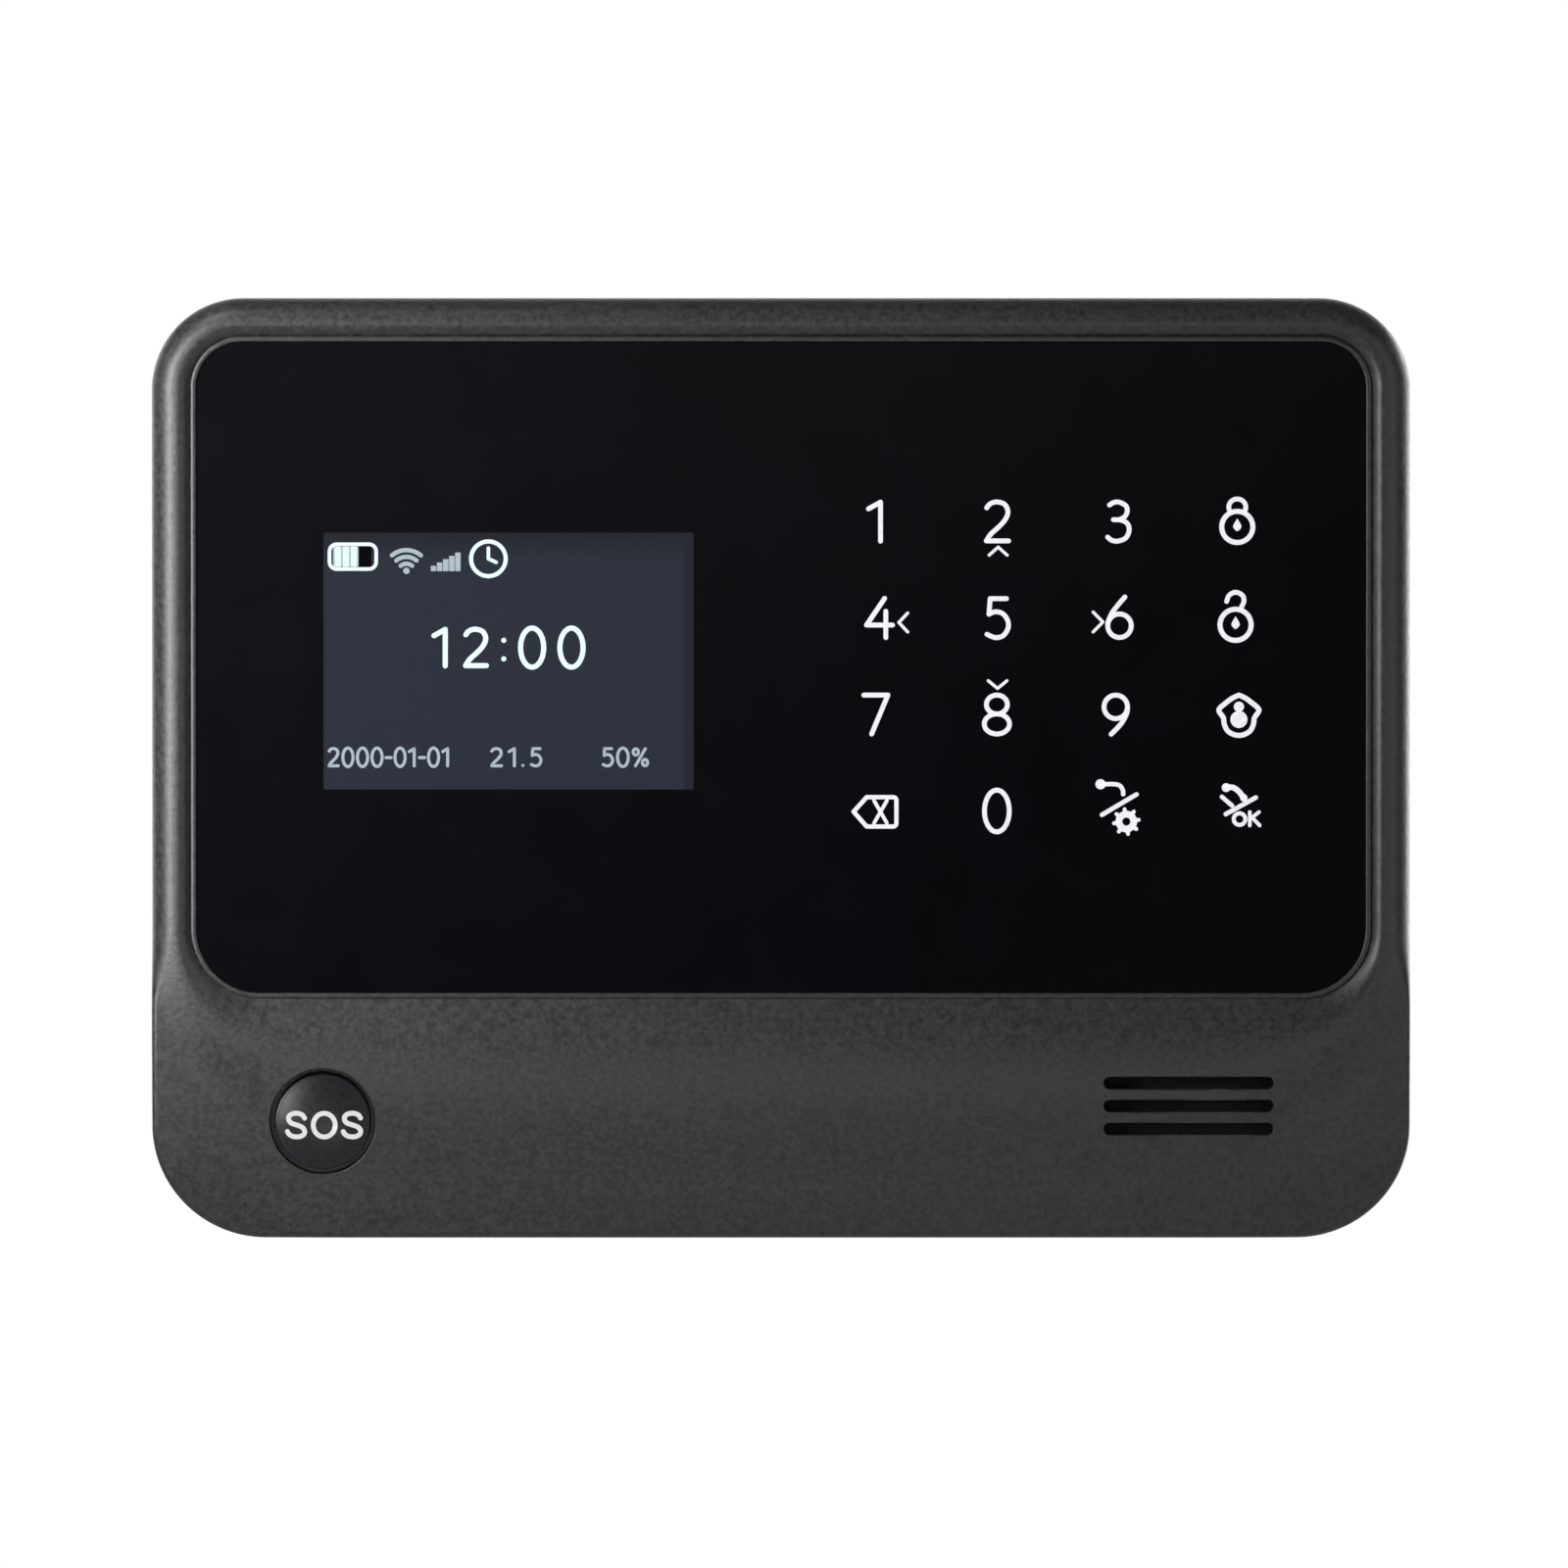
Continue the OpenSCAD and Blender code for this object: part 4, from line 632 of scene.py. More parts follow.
def make_front_housing():
    sos_x, sos_y, flange_r = middle("sos_button")
    speaker_x, speaker_y, speaker_r = middle("speaker_mesh")
    board_z = box_mm("main_board")[1][2]
    touch_z, web_z = (corner[2] for corner in box_mm("touch_board"))
    seat_z, tube_r = BODY_Z - SEAT_DROP, flange_r + 0.3
    inner, low, web = grown(BODY, -WALL), PART_Z - 1, web_z + 0.01

    chin_vault, ceiling = vault()
    cuts = [prism(grown(LENS, 0.15), glass_z0 - 0.3, BODY_Z + 1), prism(inner, low, web_z),
            prism(grown(inner, 1.2), low, PART_Z + 1.7),
            opening(box_mm("display_glass"), 1, web_z - 1, BODY_Z),
            opening(box_mm("key_light_guide"), 2, web_z - 1, BODY_Z), chin_vault]

    # posts and rings that stand on the housing's inside
    corners = spots(box_mm("housing_screws"), HOUSING_HEAD_R)
    (ax0, ay0, _), (ax1, ay1, _) = box_mm("board_screws")
    standoffs = [(x, y) for x in (ax0 + BOARD_HEAD_R, BOARD_MID_X, ax1 - BOARD_HEAD_R)
                 for y in (ay0 + BOARD_HEAD_R, ay1 - BOARD_HEAD_R)]
    stakes = spots(box_mm("touch_board"), STAKE_INSET)
    (ux0, uy0, uz0), (ux1, _, _) = box_mm("speaker_screws")
    adds = []
    for lower, upper in (corners[:2], corners[2:]):
        adds += [post(*upper, CORNER_R, CORNER_FOOT_Z, web),
                 post(*lower, CORNER_R, CORNER_FOOT_Z, BODY_Z - 3)]
    adds += [post(x, y, BOARD_POST_R, board_z, web) for x, y in standoffs]
    chamber_z, foot_y = ceiling(speaker_y - speaker_r), uy0 + SPEAKER_HEAD_R
    adds += [post(sos_x, sos_y, tube_r + 1.3, seat_z - 3, BODY_Z - ROOF, 24),
             post(speaker_x, speaker_y, speaker_r + 1.4, seat_z - 0.8, chamber_z + 0.5, 24)]
    adds += [post(x, foot_y, SPEAKER_POST_R, uz0 + 1.2, ceiling(foot_y) + 0.5)
             for x in (ux0 + SPEAKER_HEAD_R, ux1 - SPEAKER_HEAD_R)]
    adds += [post(x, y, STAKE_R, touch_z - 0.01, web) for x, y in stakes]
    adds += [post(x, y, SHOULDER_R, touch_z - 0.8, touch_z) for x, y in stakes]

    # the button's bore, the speaker's chamber and slots, and the screws' holes
    holes = [post(sos_x, sos_y, BUTTON_HOLE_R, low, BODY_Z + 2, 24),
             post(sos_x, sos_y, tube_r, low, seat_z, 24),
             post(speaker_x, speaker_y, speaker_r + 0.2, PART_Z, seat_z, 24),
             post(speaker_x, speaker_y, speaker_r - 2, seat_z - 1, chamber_z, 24),
             lip(pad(2 * BUTTON_HOLE_R, 2 * BUTTON_HOLE_R, BUTTON_HOLE_R), sos_x, sos_y, 0.16)]
    slot = pad(SLOT_L, SLOT_W, SLOT_R)
    for i in (-1, 0, 1):
        y = speaker_y + SLOT_PITCH * i
        holes += [prism(slot, PART_Z, BODY_Z + 1, speaker_x, y), lip(slot, speaker_x, y, 0.13)]
    holes += [post(x, y, BOARD_PILOT_R, board_z - 1, web_z + 0.8) for x, y in standoffs]
    holes += [post(x, y, *CORNER_PILOT) for x, y in corners]

    housing = solid("front_shell", crown_rings())
    for operation, tools in (("DIFFERENCE", cuts), ("UNION", adds), ("DIFFERENCE", holes)):
        for tool in tools:
            modifier = housing.modifiers.new("shape", "BOOLEAN")
            modifier.operation, modifier.object, modifier.solver = operation, tool, "MANIFOLD"
    bpy.context.view_layer.update()
    shaped = bpy.data.meshes.new_from_object(housing.evaluated_get(bpy.context.evaluated_depsgraph_get()))
    for tool in cuts + adds + holes:
        bpy.data.objects.remove(tool)
    housing.modifiers.clear()
    housing.data = shaped
    shade_crown(shaped)
    shaped.materials.clear()
    shaped.materials.append(materials["housing_plastic"])
    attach(housing, "panel")
    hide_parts("front_housing")


def shade_crown(mesh, near=0.06, alike=0.97):
    """Gives the crown the normals of its own formula, so that it shades as one smooth moulding.

    They go to the faces that lie within near mm of the formula's surface and face much as it does.
    """
    mesh.shade_smooth()
    mesh.set_sharp_from_angle(angle=math.radians(28))
    count = len(mesh.loops)
    normals = np.empty(count * 3, np.float32)
    mesh.corner_normals.foreach_get("vector", normals)
    normals = normals.reshape(-1, 3)
    verts = np.empty(len(mesh.vertices) * 3, np.float32)
    mesh.vertices.foreach_get("co", verts)
    world = verts.reshape(-1, 3) / MM
    local = np.stack([world[:, 0], world[:, 2], -world[:, 1]], 1).astype(np.float64)
    owner = np.empty(count, np.int32)
    mesh.loops.foreach_get("vertex_index", owner)
    sizes = np.array([p.loop_total for p in mesh.polygons])
    centres = np.array([p.center for p in mesh.polygons]) / MM
    facing = np.array([p.normal for p in mesh.polygons])
    cx, cy, cz = centres[:, 0], centres[:, 2], -centres[:, 1]
    up = -facing[:, 1]
    d = beyond(LENS, cx, cy)
    bead_z = LENS_Z + BEAD_H * np.sqrt(np.clip(1 - (1 - 2 * d / BEAD_W) ** 2, 0, 1))
    on_bead = (d > 0) & (d < BEAD_W) & (abs(cz - bead_z) < near) & (up > 0.02)
    aim = crown_normals(cx, cy)
    aim /= np.linalg.norm(aim, axis=1)[:, None]
    agree = aim[:, 0] * facing[:, 0] + aim[:, 1] * facing[:, 2] - aim[:, 2] * facing[:, 1]
    close = (abs(cz - crown(cx, cy)) < near) | (beyond(BODY, cx, cy) > -near)
    on_crown = (d >= BEAD_W) & (agree > alike) & close
    for chosen, formula in ((on_bead, bead_normals), (on_crown, crown_normals)):
        loops = np.repeat(chosen, sizes)
        place = local[owner[loops]]
        found = formula(place[:, 0], place[:, 1])
        found /= np.linalg.norm(found, axis=1)[:, None]
        normals[loops] = np.stack([found[:, 0], -found[:, 2], found[:, 1]], 1)
    mesh.normals_split_custom_set([tuple(v) for v in normals.tolist()])


make_front_housing()


# ---- strokes: lines of even width with round ends, laid on a surface ----

def arc(x, y, rx, ry, start, end, steps=None):
    n = steps or max(4, int(abs(end - start) / 9))
    return [(x + rx * math.cos(math.radians(start + (end - start) * i / n)),
             y + ry * math.sin(math.radians(start + (end - start) * i / n))) for i in range(n + 1)]


def circle(x, y, rx, ry=None):
    return arc(x, y, rx, ry or rx, 0, 360, 48)


def smooth(points, steps=6):
    """A smooth path through points (Catmull-Rom)."""
    p = [points[0], *points, points[-1]]
    path = []
    for i in range(1, len(p) - 2):
        for s in range(steps):
            t = s / steps
            path.append(tuple(
                0.5 * (2 * p[i][k] + (p[i + 1][k] - p[i - 1][k]) * t
                       + (2 * p[i - 1][k] - 5 * p[i][k] + 4 * p[i + 1][k] - p[i + 2][k]) * t * t
                       + (3 * p[i][k] - p[i - 1][k] - 3 * p[i + 1][k] + p[i + 2][k]) * t ** 3)
                for k in (0, 1)))
    path.append(points[-1])
    return path


def moved(paths, x, y):
    return [[(x + px, y + py) for px, py in path] for path in paths]


DIGITS = {
    "0": [circle(0, 0, 1.75, 2.95)],
    "1": [[(-1.15, 1.8), (0.55, 2.75)], [(0.55, 2.75), (0.55, -2.75)]],
    "2": [smooth([(-1.45, 1.95), (-0.95, 2.52), (0, 2.78), (1.1, 2.42), (1.55, 1.4), (1.2, 0.35),
                  (0.35, -0.65), (-0.85, -1.75), (-1.5, -2.72)]), [(-1.5, -2.72), (1.65, -2.72)]],
    "3": [smooth([(-1.1, 2.35), (-0.5, 2.7), (0.25, 2.75), (1.2, 2.25), (1.4, 1.45), (1.05, 0.7),
                  (0.3, 0.3), (-0.55, 0.27)]),
          smooth([(0.3, 0.3), (1.35, -0.2), (1.68, -1.2), (1.2, -2.3), (0.1, -2.75), (-0.75, -2.65),
                  (-1.35, -2.2)])],
    "4": [[(1.13, 2.78), (-1.42, -0.98)], [(-1.42, -0.98), (2.25, -0.98)], [(1.3, 0.95), (1.3, -2.75)]],
    "5": [[(1.35, 2.75), (-0.95, 2.75)], [(-0.95, 2.75), (-1.12, 0.55)],
          smooth([(-1.12, 0.55), (-0.2, 0.9), (0.85, 0.6), (1.55, -0.4), (1.55, -1.5), (0.85, -2.5),
                  (-0.25, -2.75), (-1.4, -2.3)])],
    "6": [smooth([(1.08, 2.98), (0.1, 1.85), (-0.75, 0.7), (-1.28, -0.5), (-1.33, -1.08)]),
          circle(0.32, -1.08, 1.66)],
    "7": [[(-1.8, 2.75), (1.6, 2.75)], [(1.6, 2.75), (-0.7, -2.75)]],
    "8": [circle(0, 1.42, 1.48, 1.33), circle(0, -1.33, 1.78, 1.42)],
    "9": [circle(-0.2, 1.08, 1.66), smooth([(1.46, 1.08), (1.32, 0.1), (0.55, -1.3), (-0.85, -2.78)])],
    "-": [[(-0.9, -0.1), (0.9, -0.1)]],
    ":": [[(0, 1.1), (0, 1.101)], [(0, -1.7), (0, -1.701)]],
    ".": [[(0, -2.6), (0, -2.601)]],
    "%": [circle(-1.5, 1.7, 0.85, 1.0), circle(1.5, -1.7, 0.85, 1.0), [(1.6, 2.7), (-1.6, -2.7)]],
}
ADVANCE = {"-": 2.9, ":": 2.2, ".": 1.8, "1": 3.6, "%": 6.4}
DIGIT_ADVANCE, DIGIT_GAP, DIGIT_H = 5.0, 1.2, 6.2


def words(text, x, y, height, width, centred=False):
    """Strokes of a line of digits, scaled to a height and a width."""
    scale = height / DIGIT_H
    steps = [ADVANCE.get(c, DIGIT_ADVANCE) for c in text]
    total = (sum(steps) - DIGIT_GAP) * scale
    stretch = width / total
    pen = x - (total * stretch / 2 if centred else 0)
    paths = []
    for c, step in zip(text, steps):
        centre = pen + (step - DIGIT_GAP) / 2 * scale * stretch
        paths += [[(centre + px * scale * min(stretch, 1.0), y + py * scale) for px, py in path]
                  for path in DIGITS[c]]
        pen += step * scale * stretch
    return paths


def sides(path, half, closed=False):
    """The two sides of a stroke along a path."""
    left, right, last = [], [], len(path) - 1
    for i, (x, y) in enumerate(path):
        ax, ay = path[i - 1 if closed else max(i - 1, 0)]
        bx, by = path[(i + 1) % len(path) if closed else min(i + 1, last)]
        length = math.hypot(bx - ax, by - ay)
        nx, ny = -(by - ay) / length * half, (bx - ax) / length * half
        left.append((x + nx, y + ny))
        right.append((x - nx, y - ny))
    return left, right


def ribbon(path, half, steps=8):
    """The outline of a stroke: its two sides and its round ends."""
    left, right = sides(path, half)

    def cap(centre, first):
        start = math.atan2(first[1] - centre[1], first[0] - centre[0])
        return [(centre[0] + half * math.cos(start - math.pi * i / steps),
                 centre[1] + half * math.sin(start - math.pi * i / steps)) for i in range(1, steps)]

    return left, cap(path[-1], left[-1]), right[::-1], cap(path[0], right[0])


def laid(name, strokes, fills, surface, body, material, thick=0.02):
    """A piece of thin strokes and filled shapes. surface(x, y) is the depth of what it lies on, in mm."""
    verts, faces = [], []

    def points(outline, lift):
        first = len(verts)
        verts.extend([(x * MM, -(surface(x, y) + lift) * MM, y * MM) for x, y in outline])
        return list(range(first, len(verts)))

    def wall(loop_top, loop_low):
        n = len(loop_top)
        for i in range(n):
            j = (i + 1) % n
            faces.append((loop_top[i], loop_low[i], loop_low[j], loop_top[j]))

    for path, width in strokes:
        if math.dist(path[0], path[-1]) < 1e-6 and len(path) > 4:
            inner, outer = sides(path[:-1], width / 2, closed=True)
            it, ot, il, ol = (points(side, lift) for lift in (thick, 0) for side in (inner, outer))
            for i in range(len(it)):
                j = (i + 1) % len(it)
                faces.append((it[i], ot[i], ot[j], it[j]))
            wall(ot, ol)
            wall(it[::-1], il[::-1])
            continue
        parts = ribbon(path, width / 2)
        left, end, right, start = (points(part, thick) for part in parts)
        for i in range(len(path) - 1):
            faces.append((left[i], right[-1 - i], right[-2 - i], left[i + 1]))
        faces.append((left[-1], right[0], *end[::-1]))
        faces.append((right[-1], left[0], *start[::-1]))
        low = points([p for part in parts for p in part], 0)
        wall([*left, *end, *right, *start][::-1], low[::-1])
    for outline in fills:
        top, low = points(outline, thick), points(outline, 0)
        faces.append(tuple(top))
        wall(top, low)
    mesh = bpy.data.meshes.new(name)
    mesh.from_pydata(verts, [], faces)
    mesh.validate()
    piece = add(name, mesh)
    mesh.materials.append(material)
    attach(piece, body)


def round_box(x, y, w, h, r):
    return [p for cx, cy, a in ((1, 1, 0), (-1, 1, 90), (-1, -1, 180), (1, -1, 270))
            for p in arc(x + cx * (w / 2 - r), y + cy * (h / 2 - r), r, r, a, a + 90, 6)]


def closed(outline):
    return [*outline, outline[0]]


# ---- key legends, drawn on the lens's face and lit as if by the key lights behind it ----

key_lo, key_hi = box_mm("key_electrodes")
ELECTRODE_R, KEY_LIFT = 5.0, 0.1
key_x0, key_x1 = key_lo[0] + ELECTRODE_R, key_hi[0] - ELECTRODE_R
key_y0, key_y1 = key_hi[1] - ELECTRODE_R + KEY_LIFT, key_lo[1] + ELECTRODE_R + KEY_LIFT
LINE, FINE = 0.67, 0.42


def level(z):
    """A flat surface at one depth."""
    return lambda x, y: z


def lines(width, *paths):
    return [(path, width) for path in paths]


def digit(c, *arrow):
    """A key's digit, with an arrow's end, its tip and its other end where the key has one."""
    return lines(LINE, *DIGITS[c]) + lines(FINE, *([a, b] for a, b in zip(arrow, arrow[1:])))


def padlock(x, y, shackle):
    return lines(0.7, circle(x, y, 2.2)) + lines(0.66, shackle), moved([KEYHOLE], x, y)


def gear(x, y):
    """A ring with eight teeth round an open hole."""
    teeth = ([on_circle(x, y, r, 45 * i + 8) for r in (1.3, 1.75)] for i in range(8))
    return lines(0.95, circle(x, y, 1.05)) + lines(0.55, *teeth)


KEYHOLE = smooth([(0, 1.2), (-0.5, 0.35), (-0.55, -0.1), (0, -0.6), (0.55, -0.1), (0.5, 0.35),
                  (0, 1.2)], 4)[:-1]
SHIELD = smooth([(0.2, 2.75), (1.15, 2.3), (2.1, 1.6), (2.95, 0.85), (2.95, 0.35), (2.4, -0.45),
                 (2.25, -1.4), (1.75, -2.35), (0.85, -2.85), (0.2, -2.95)], 5)
SHIELD = SHIELD + [(0.4 - x, y) for x, y in SHIELD[-2::-1]]
# (row, column): the strokes with their widths, and the filled shapes
MARKS = {
    (0, 0): (digit("1"), []),
    (0, 1): (digit("2", (-1.1, -4.74), (0.17, -3.6), (1.45, -4.74)), []),
    (0, 2): (digit("3"), []),
    (0, 3): padlock(-0.05, -0.75, arc(-0.05, 2.05, 1.2, 1.15, -25, 205)),
    (1, 0): (digit("4", (4.4, 0.72), (3.14, -0.62), (4.4, -1.96)), []),
    (1, 1): (digit("5"), []),
    (1, 2): (digit("6", (-3.4, 0.85), (-2.02, -0.55), (-3.4, -1.95)), []),
    (1, 3): padlock(-0.28, -0.95, smooth([(-1.55, 2.35), (-1.2, 3.2), (-0.3, 3.65), (0.65, 3.25),
                                          (0.9, 2.4), (0.45, 1.35)])),
    (2, 0): (digit("7"), []),
    (2, 1): (digit("8", (-1.22, 4.78), (0.1, 3.69), (1.42, 4.78)), []),
    (2, 2): (digit("9"), []),
    (2, 3): (lines(0.7, SHIELD), [circle(0.2, 1.1, 0.72)[:-1], circle(0.2, -0.7, 1.2)[:-1]]),
    (3, 0): (lines(0.6, [(-3.25, -0.1), (-1.4, 1.95)], [(-1.4, 1.95), (2.35, 1.95)],
                   arc(2.35, 1.5, 0.45, 0.45, 90, 0, 5), [(2.8, 1.5), (2.8, -1.75)],
                   arc(2.35, -1.75, 0.45, 0.45, 0, -90, 5), [(2.35, -2.2), (-1.4, -2.2)],
                   [(-1.4, -2.2), (-3.25, -0.1)])
             + lines(0.5, [(-0.35, 1.45), (1.45, -1.7)], [(1.45, 1.45), (-0.35, -1.7)]), []),
    (3, 1): (digit("0"), []),
    (3, 2): (lines(0.6, smooth([(-2.3, 3.75), (-0.6, 3.8), (0.35, 3.6), (0.8, 2.95), (0.85, 2.35)]))
             + lines(0.62, [(-2.15, -0.55), (2.75, 2.35)]) + gear(1.3, -1.5),
             [circle(-2.35, 3.78, 0.72)[:-1]]),
    (3, 3): (lines(0.78, smooth([(-1.6, 3.35), (-0.6, 3.3), (0.2, 2.75), (0.85, 1.9)]))
             + lines(0.6, [(-2.2, 2.0), (-0.75, 0.75)]) + lines(0.62, [(-1.65, -0.45), (2.6, 1.9)])
             + lines(0.55, circle(0.3, -1.15, 0.82))
             + lines(0.5, [(1.75, -0.15), (1.75, -2.05)], [(3.05, -0.15), (1.85, -1.1)],
                     [(2.1, -0.95), (3.15, -2.05)]),
             [circle(-1.6, 3.3, 0.62)[:-1], circle(0.9, 1.85, 0.52)[:-1]]),
}

strokes, fills = [], []
for (row, column), (drawn, blobs) in MARKS.items():
    x, y = key_x0 + (key_x1 - key_x0) * column / 3, key_y0 + (key_y1 - key_y0) * row / 3
    strokes += [(moved([path], x, y)[0], width) for path, width in drawn]
    fills += moved(blobs, x, y)

laid("key_legends", strokes, fills, level(LENS_Z), "panel",
     lit_ink("mat_key_ink", srgb(243, 241, 246), 0.86))


# ---- the display's lit picture, drawn on the lens's face ----

GASKET_W, STRIP_W = 2.2, 1.3
window_lo, window_hi = box_mm("display_gasket")
screen_x, screen_y, _ = middle("display_gasket")
screen_w, screen_h = (window_hi[i] - window_lo[i] - 2 * GASKET_W for i in (0, 1))
left, top = screen_x - screen_w / 2, screen_y + screen_h / 2


def lit_screen(name):
    """The display's picture area: dark slate, darker along its top and its right-hand strip."""
    g = Graph(name)
    strip_x = left + screen_w - STRIP_W
    down = g.between(g.axis("Z"), 0.0, 1.0, top * MM, (top - 4) * MM)
    strip = g.between(g.axis("X"), 0.0, 1.0, (strip_x - 0.02) * MM, (strip_x + 0.02) * MM)
    slate = g.mix(strip, g.blend(down, srgb(30, 32, 39), srgb(40, 45, 56), 0.0, 1.0), (*srgb(32, 35, 45), 1))
    grain = g.noise(0.25, 1)
    light = g.mix(1, slate, g.blend(grain, (0.94, 0.94, 0.94), (1, 1, 1)), blend_type="MULTIPLY")
    g.set(Base_Color=g.blend(grain, (0.004, 0.004, 0.005), (0.006, 0.006, 0.008)), Roughness=0.07,
          Emission_Color=light, Emission_Strength=1.0)
    return g.material


laid("screen_picture", [], [round_box(screen_x, screen_y, screen_w, screen_h, 0.35)],
     level(LENS_Z), "panel", lit_screen("mat_screen"), 0.01)

# a battery with three bars, the rest of it empty
battery_x, battery_y = left + 4.15, top - 3.4
bright = lines(0.5, closed(round_box(battery_x, battery_y, 6.6, 3.5, 1.0)))
pale_bars = [round_box(battery_x - 2.12 + 1.14 * i, battery_y, 0.86, 2.9, 0.2) for i in range(3)]
dark_box = [round_box(battery_x + 1.72, battery_y, 1.8, 2.9, 0.1)]

# wireless and signal marks
wave_x, wave_y = left + 11.72, top - 5.65
dim = lines(0.6, *(arc(wave_x, wave_y, r, r, 130, 50) for r in (1.25, 2.22, 3.18)))
dim_fills = [circle(wave_x, wave_y + 0.25, 0.45)[:-1], round_box(battery_x - 1.0, battery_y, 3.6, 2.9, 0.2)]
for i in range(5):
    h = 0.75 + 0.47 * i
    dim_fills.append(round_box(left + 15.55 + 0.86 * i, top - 5.45 + h / 2, 0.76, h, 0.08))

# a clock
clock_x, clock_y = left + 23.3, top - 3.7
bright += lines(0.58, circle(clock_x, clock_y, 2.45))
bright += lines(0.5, [(clock_x, clock_y), (clock_x, clock_y + 1.5)],
                [(clock_x, clock_y), (clock_x + 1.1, clock_y - 0.5)])

# the time, and the row of readings along the bottom
bright += lines(0.72, *words("12:00", screen_x + 0.1, screen_y + 1.9, 5.8, 21.8, centred=True))
row_y, row_h = screen_y - 13.6, 2.75
for text, start, width in (("2000-01-01", 0.6, 17.2), ("21.5", 23.4, 7.6), ("50%", 39.3, 6.6)):
    dim += lines(0.42, *words(text, left + start, row_y, row_h, width))

laid("screen_marks_bright", bright, [], level(LENS_Z + 0.01), "panel",
     lit_ink("mat_screen_white", srgb(232, 250, 254), 0.85), 0.01)
laid("screen_marks_dim", dim, dim_fills, level(LENS_Z + 0.01), "panel",
     lit_ink("mat_screen_grey", srgb(172, 184, 192), 0.85), 0.01)
laid("screen_marks_pale", [], pale_bars, level(LENS_Z + 0.02), "panel",
     lit_ink("mat_screen_pale", srgb(222, 245, 240), 0.85), 0.01)
laid("screen_marks_dark", [], dark_box, level(LENS_Z + 0.01), "panel",
     lit_ink("mat_screen_dark", srgb(6, 8, 10), 0.5), 0.01)


# ---- the SOS button and its mark ----

DOME_RISE, DOME_R = 0.8, 6.65
sos_x, sos_y, flange_r = middle("sos_button")
flange_z, dome_top = (corner[2] for corner in box_mm("sos_button"))


def dome(x, y):
    return dome_z(math.hypot(x - sos_x, y - sos_y))


def dome_z(r):
    return dome_top - DOME_RISE * (r / DOME_R) ** 2


def lathe(name, profile, x, y, steps=96):
    """A closed mesh round an axis out of the wall. Its (radius, depth) points start and end on the axis."""
    verts, rings, faces = [], [], []
    for r, z in profile:
        count = steps if r > 0 else 1
        rings.append([len(verts) + i for i in range(count)])
        verts += [((x + r * math.cos(2 * math.pi * i / steps)) * MM, -z * MM,
                   (y + r * math.sin(2 * math.pi * i / steps)) * MM) for i in range(count)]
    for a, b in zip(rings, rings[1:]):
        for i in range(steps):
            j = (i + 1) % steps
            corners = (a[i % len(a)], a[j % len(a)], b[j % len(b)], b[i % len(b)])
            faces.append(tuple(dict.fromkeys(corners)))
    mesh = bpy.data.meshes.new(name)
    mesh.from_pydata(verts, [], faces)
    mesh.shade_smooth()
    mesh.set_sharp_from_angle(angle=math.radians(35))
    return add(name, mesh)


def make_button(flange_t=1.2, side_r=6.78, round_r=0.4, wall=1.2, stem_r=2.6):
    flat_r = side_r - round_r
    rim_z = dome_z(flat_r)
    roof_z = rim_z - round_r - wall
    profile = [(0, flange_z), (stem_r, flange_z), (stem_r, roof_z), (side_r - wall, roof_z),
               (side_r - wall, flange_z), (flange_r, flange_z), (flange_r, flange_z + flange_t),
               (side_r, flange_z + flange_t)]
    profile += [(flat_r + round_r * math.cos(math.pi / 2 * i / 8),
                 rim_z - round_r + round_r * math.sin(math.pi / 2 * i / 8)) for i in range(8)]
    profile += [(flat_r * i / 24, dome_z(flat_r * i / 24)) for i in range(24, -1, -1)]
    button = lathe("sos_cap", profile, sos_x, sos_y)
    button.data.materials.append(materials["button_black"])
    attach(button, "sos_key")
    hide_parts("sos_button")


make_button()


LETTER_S = smooth([(1.2, 0.98), (0.93, 1.38), (0.45, 1.62), (-0.08, 1.67), (-0.66, 1.54), (-1.04, 1.16),
                   (-1.04, 0.68), (-0.72, 0.3), (-0.2, 0.1), (0.4, -0.09), (0.93, -0.37), (1.2, -0.8),
                   (1.12, -1.27), (0.68, -1.58), (0.08, -1.67), (-0.5, -1.59), (-0.97, -1.33),
                   (-1.24, -0.92)])
letters_y = sos_y - 0.5
sos_strokes = lines(0.68, *moved([LETTER_S], sos_x - 3.76, letters_y),
                    circle(sos_x + 0.22, letters_y, 1.55, 1.67),
                    *moved([LETTER_S], sos_x + 4.14, letters_y))
laid("sos_legend", sos_strokes, [], dome, "sos_key", lit_ink("mat_sos_ink", srgb(236, 236, 238), 0.72),
     0.03)


# ---- the tamper switch's spring, copied from the CAD node's mesh and carried by the panel ----

spring = add("tamper_coil", frame["nodes"]["tamper_spring"].data.copy())
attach(spring, "panel")
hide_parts("tamper_spring")
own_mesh(spring)


# ---- studio ----

def area(name, place, at, size, power, spread=180):
    data = bpy.data.lights.new(name, "AREA")
    data.shape, data.size, data.size_y, data.energy = "RECTANGLE", size[0], size[1], power
    data.spread = math.radians(spread)
    o = add(name, data)
    o.location = place
    o.rotation_mode = "QUATERNION"
    o.rotation_quaternion = Vector([a - p for a, p in zip(at, place)]).to_track_quat("-Z", "Y")
    o.visible_camera = False


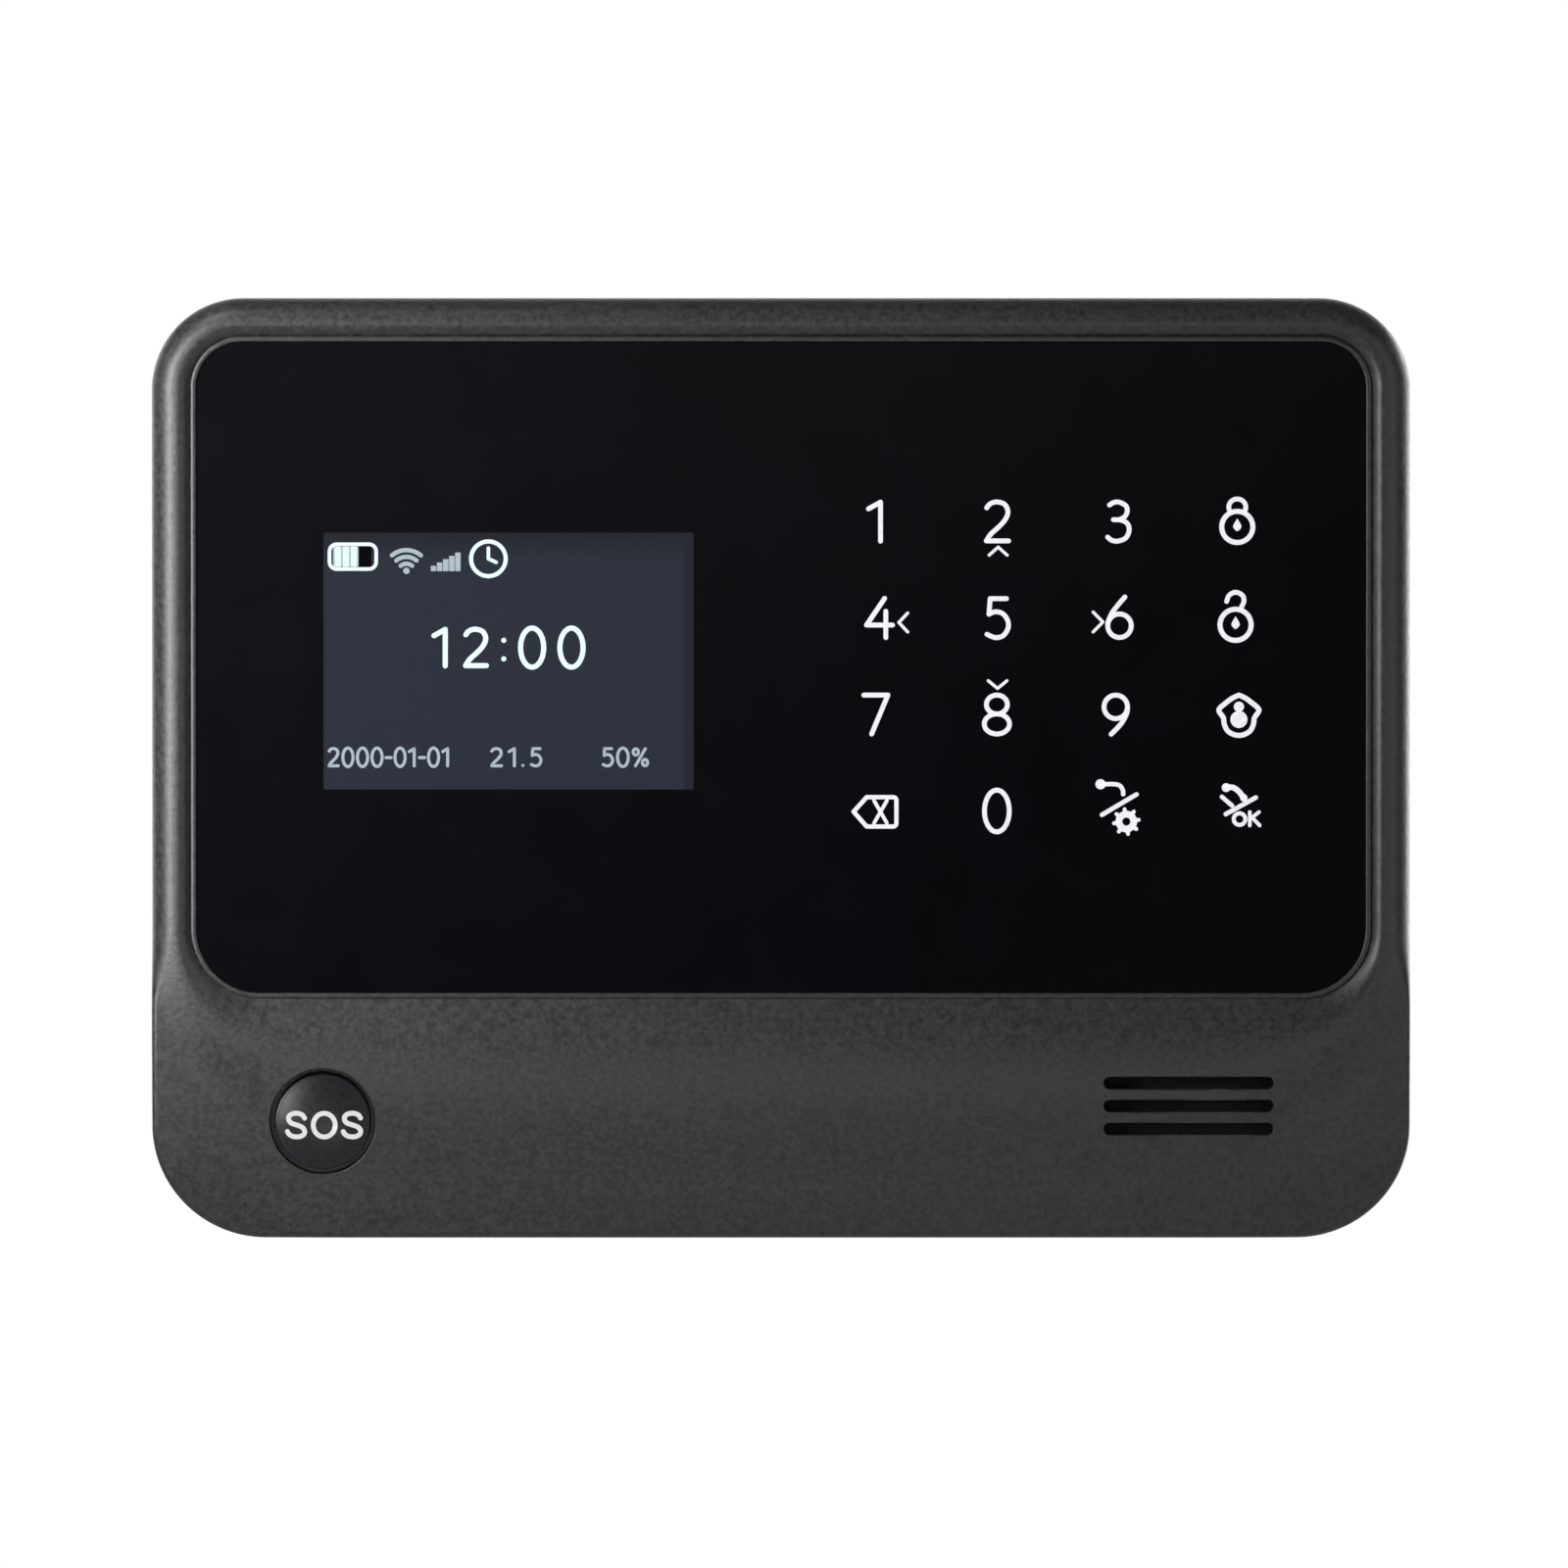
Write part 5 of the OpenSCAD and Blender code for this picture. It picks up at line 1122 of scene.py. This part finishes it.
# name, place, the point it is aimed at, size and power
area("key_left", (-0.21, -0.155, 0.055), (-0.085, 0, 0.045), (0.18, 0.2), 0.25, spread=80)
for lamp in (("front_low", (0.0, -1.9, -0.26), (0, 0, -0.05), (0.4, 0.10), 1.22),
             ("fill_right", (0.75, -0.75, 0.1), (0, 0, 0), (1.0, 1.0), 2.1),
             ("soft_top", (-0.22, -0.2, 0.40), (-0.03, 0, 0.05), (0.2, 0.14), 0.4),
             ("behind", (0.1, 1.2, 0.5), (0, 0, 0), (1.2, 1.2), 3.2),
             ("side_left", (-0.8, 1.0, 0.15), (0, 0, 0), (0.8, 0.8), 3.0),
             ("side_right", (0.9, 0.8, 0.15), (0, 0, 0), (0.8, 0.8), 9.0)):
    area(*lamp)


def make_world():
    world = bpy.data.worlds.new("studio")
    scene.world = world
    world.use_nodes = True
    tree = world.node_tree
    tree.nodes.clear()

    def new(kind, **values):
        n = tree.nodes.new(kind)
        for attribute, value in values.items():
            setattr(n, attribute, value)
        return n

    def join(n, *sources):
        """Links the sources to a node's first inputs."""
        for socket, source in zip(n.inputs, sources):
            tree.links.new(source, socket)
        return n.outputs[0]

    path, coord = new("ShaderNodeLightPath").outputs, new("ShaderNodeTexCoord").outputs["Generated"]
    ambient, backdrop, seen = (new("ShaderNodeBackground") for _ in range(3))
    ambient.inputs["Color"].default_value = seen.inputs["Color"].default_value = (1, 1, 1, 1)
    ambient.inputs["Strength"].default_value = 0.1
    # what gloss and glass show: the white backdrop behind and beside the panel, and the dim room in front,
    # a little lighter towards its upper left
    axes = new("ShaderNodeSeparateXYZ")
    join(axes, coord)
    lean = new("ShaderNodeVectorMath", operation="DOT_PRODUCT")
    lean.inputs[1].default_value = (-0.4, 0, 0.92)
    join(lean, coord)
    parts = []
    for link, values in ((axes.outputs["Y"], (0.5, 1.0, 0.0, 1.0)),
                         (lean.outputs["Value"], (-0.03, 0.02, 0.03, 0.1))):
        part = new("ShaderNodeMapRange", interpolation_type="SMOOTHSTEP")
        for i, value in enumerate(values):
            part.inputs[i + 1].default_value = value
        parts.append(join(part, link))
    join(backdrop, join(new("ShaderNodeMath", operation="MAXIMUM"), *parts))
    gloss_or_glass = join(new("ShaderNodeMath", operation="MAXIMUM"),
                          path["Is Glossy Ray"], path["Is Transmission Ray"])
    light = join(new("ShaderNodeMixShader"), gloss_or_glass, ambient.outputs[0], backdrop.outputs[0])
    light = join(new("ShaderNodeMixShader"), path["Is Camera Ray"], light, seen.outputs[0])
    tree.links.new(light, new("ShaderNodeOutputWorld").inputs["Surface"])


make_world()


def make_floor(z=-0.30, half=2):
    """A pale floor below the panel. The camera alone sees its own faint light, so that it looks white."""
    mesh = bpy.data.meshes.new("floor")
    corners = ((-1, -1), (1, -1), (1, 1), (-1, 1))
    mesh.from_pydata([(half * x, half * y, z) for x, y in corners], [], [(0, 1, 2, 3)])
    floor = add("floor", mesh)
    g = Graph("mat_floor")
    g.link(g.blend(g.noise(40, 3, 0.5), (0.86, 0.86, 0.86), (0.9, 0.9, 0.9)), g.shader.inputs["Base Color"])
    g.set(Roughness=0.9, Specular_IOR_Level=0.1)
    lift, mix = g.node("ShaderNodeEmission"), g.node("ShaderNodeAddShader")
    g.link(g.node("ShaderNodeLightPath").outputs["Is Camera Ray"], lift.inputs["Strength"])
    lift.inputs["Color"].default_value = (0.84, 0.84, 0.84, 1)  # white, with the lamps' light on it
    g.link(g.shader.outputs[0], mix.inputs[0])
    g.link(lift.outputs[0], mix.inputs[1])
    # seen from underneath it is clear, so that a view from below shows the panel
    clear, side = g.node("ShaderNodeBsdfTransparent"), g.node("ShaderNodeMixShader")
    g.link(g.node("ShaderNodeNewGeometry").outputs["Backfacing"], side.inputs[0])
    g.link(mix.outputs[0], side.inputs[1])
    g.link(clear.outputs[0], side.inputs[2])
    g.link(side.outputs[0], g.out.inputs["Surface"])
    mesh.materials.append(g.material)


make_floor()

scene.view_settings.view_transform = "Standard"
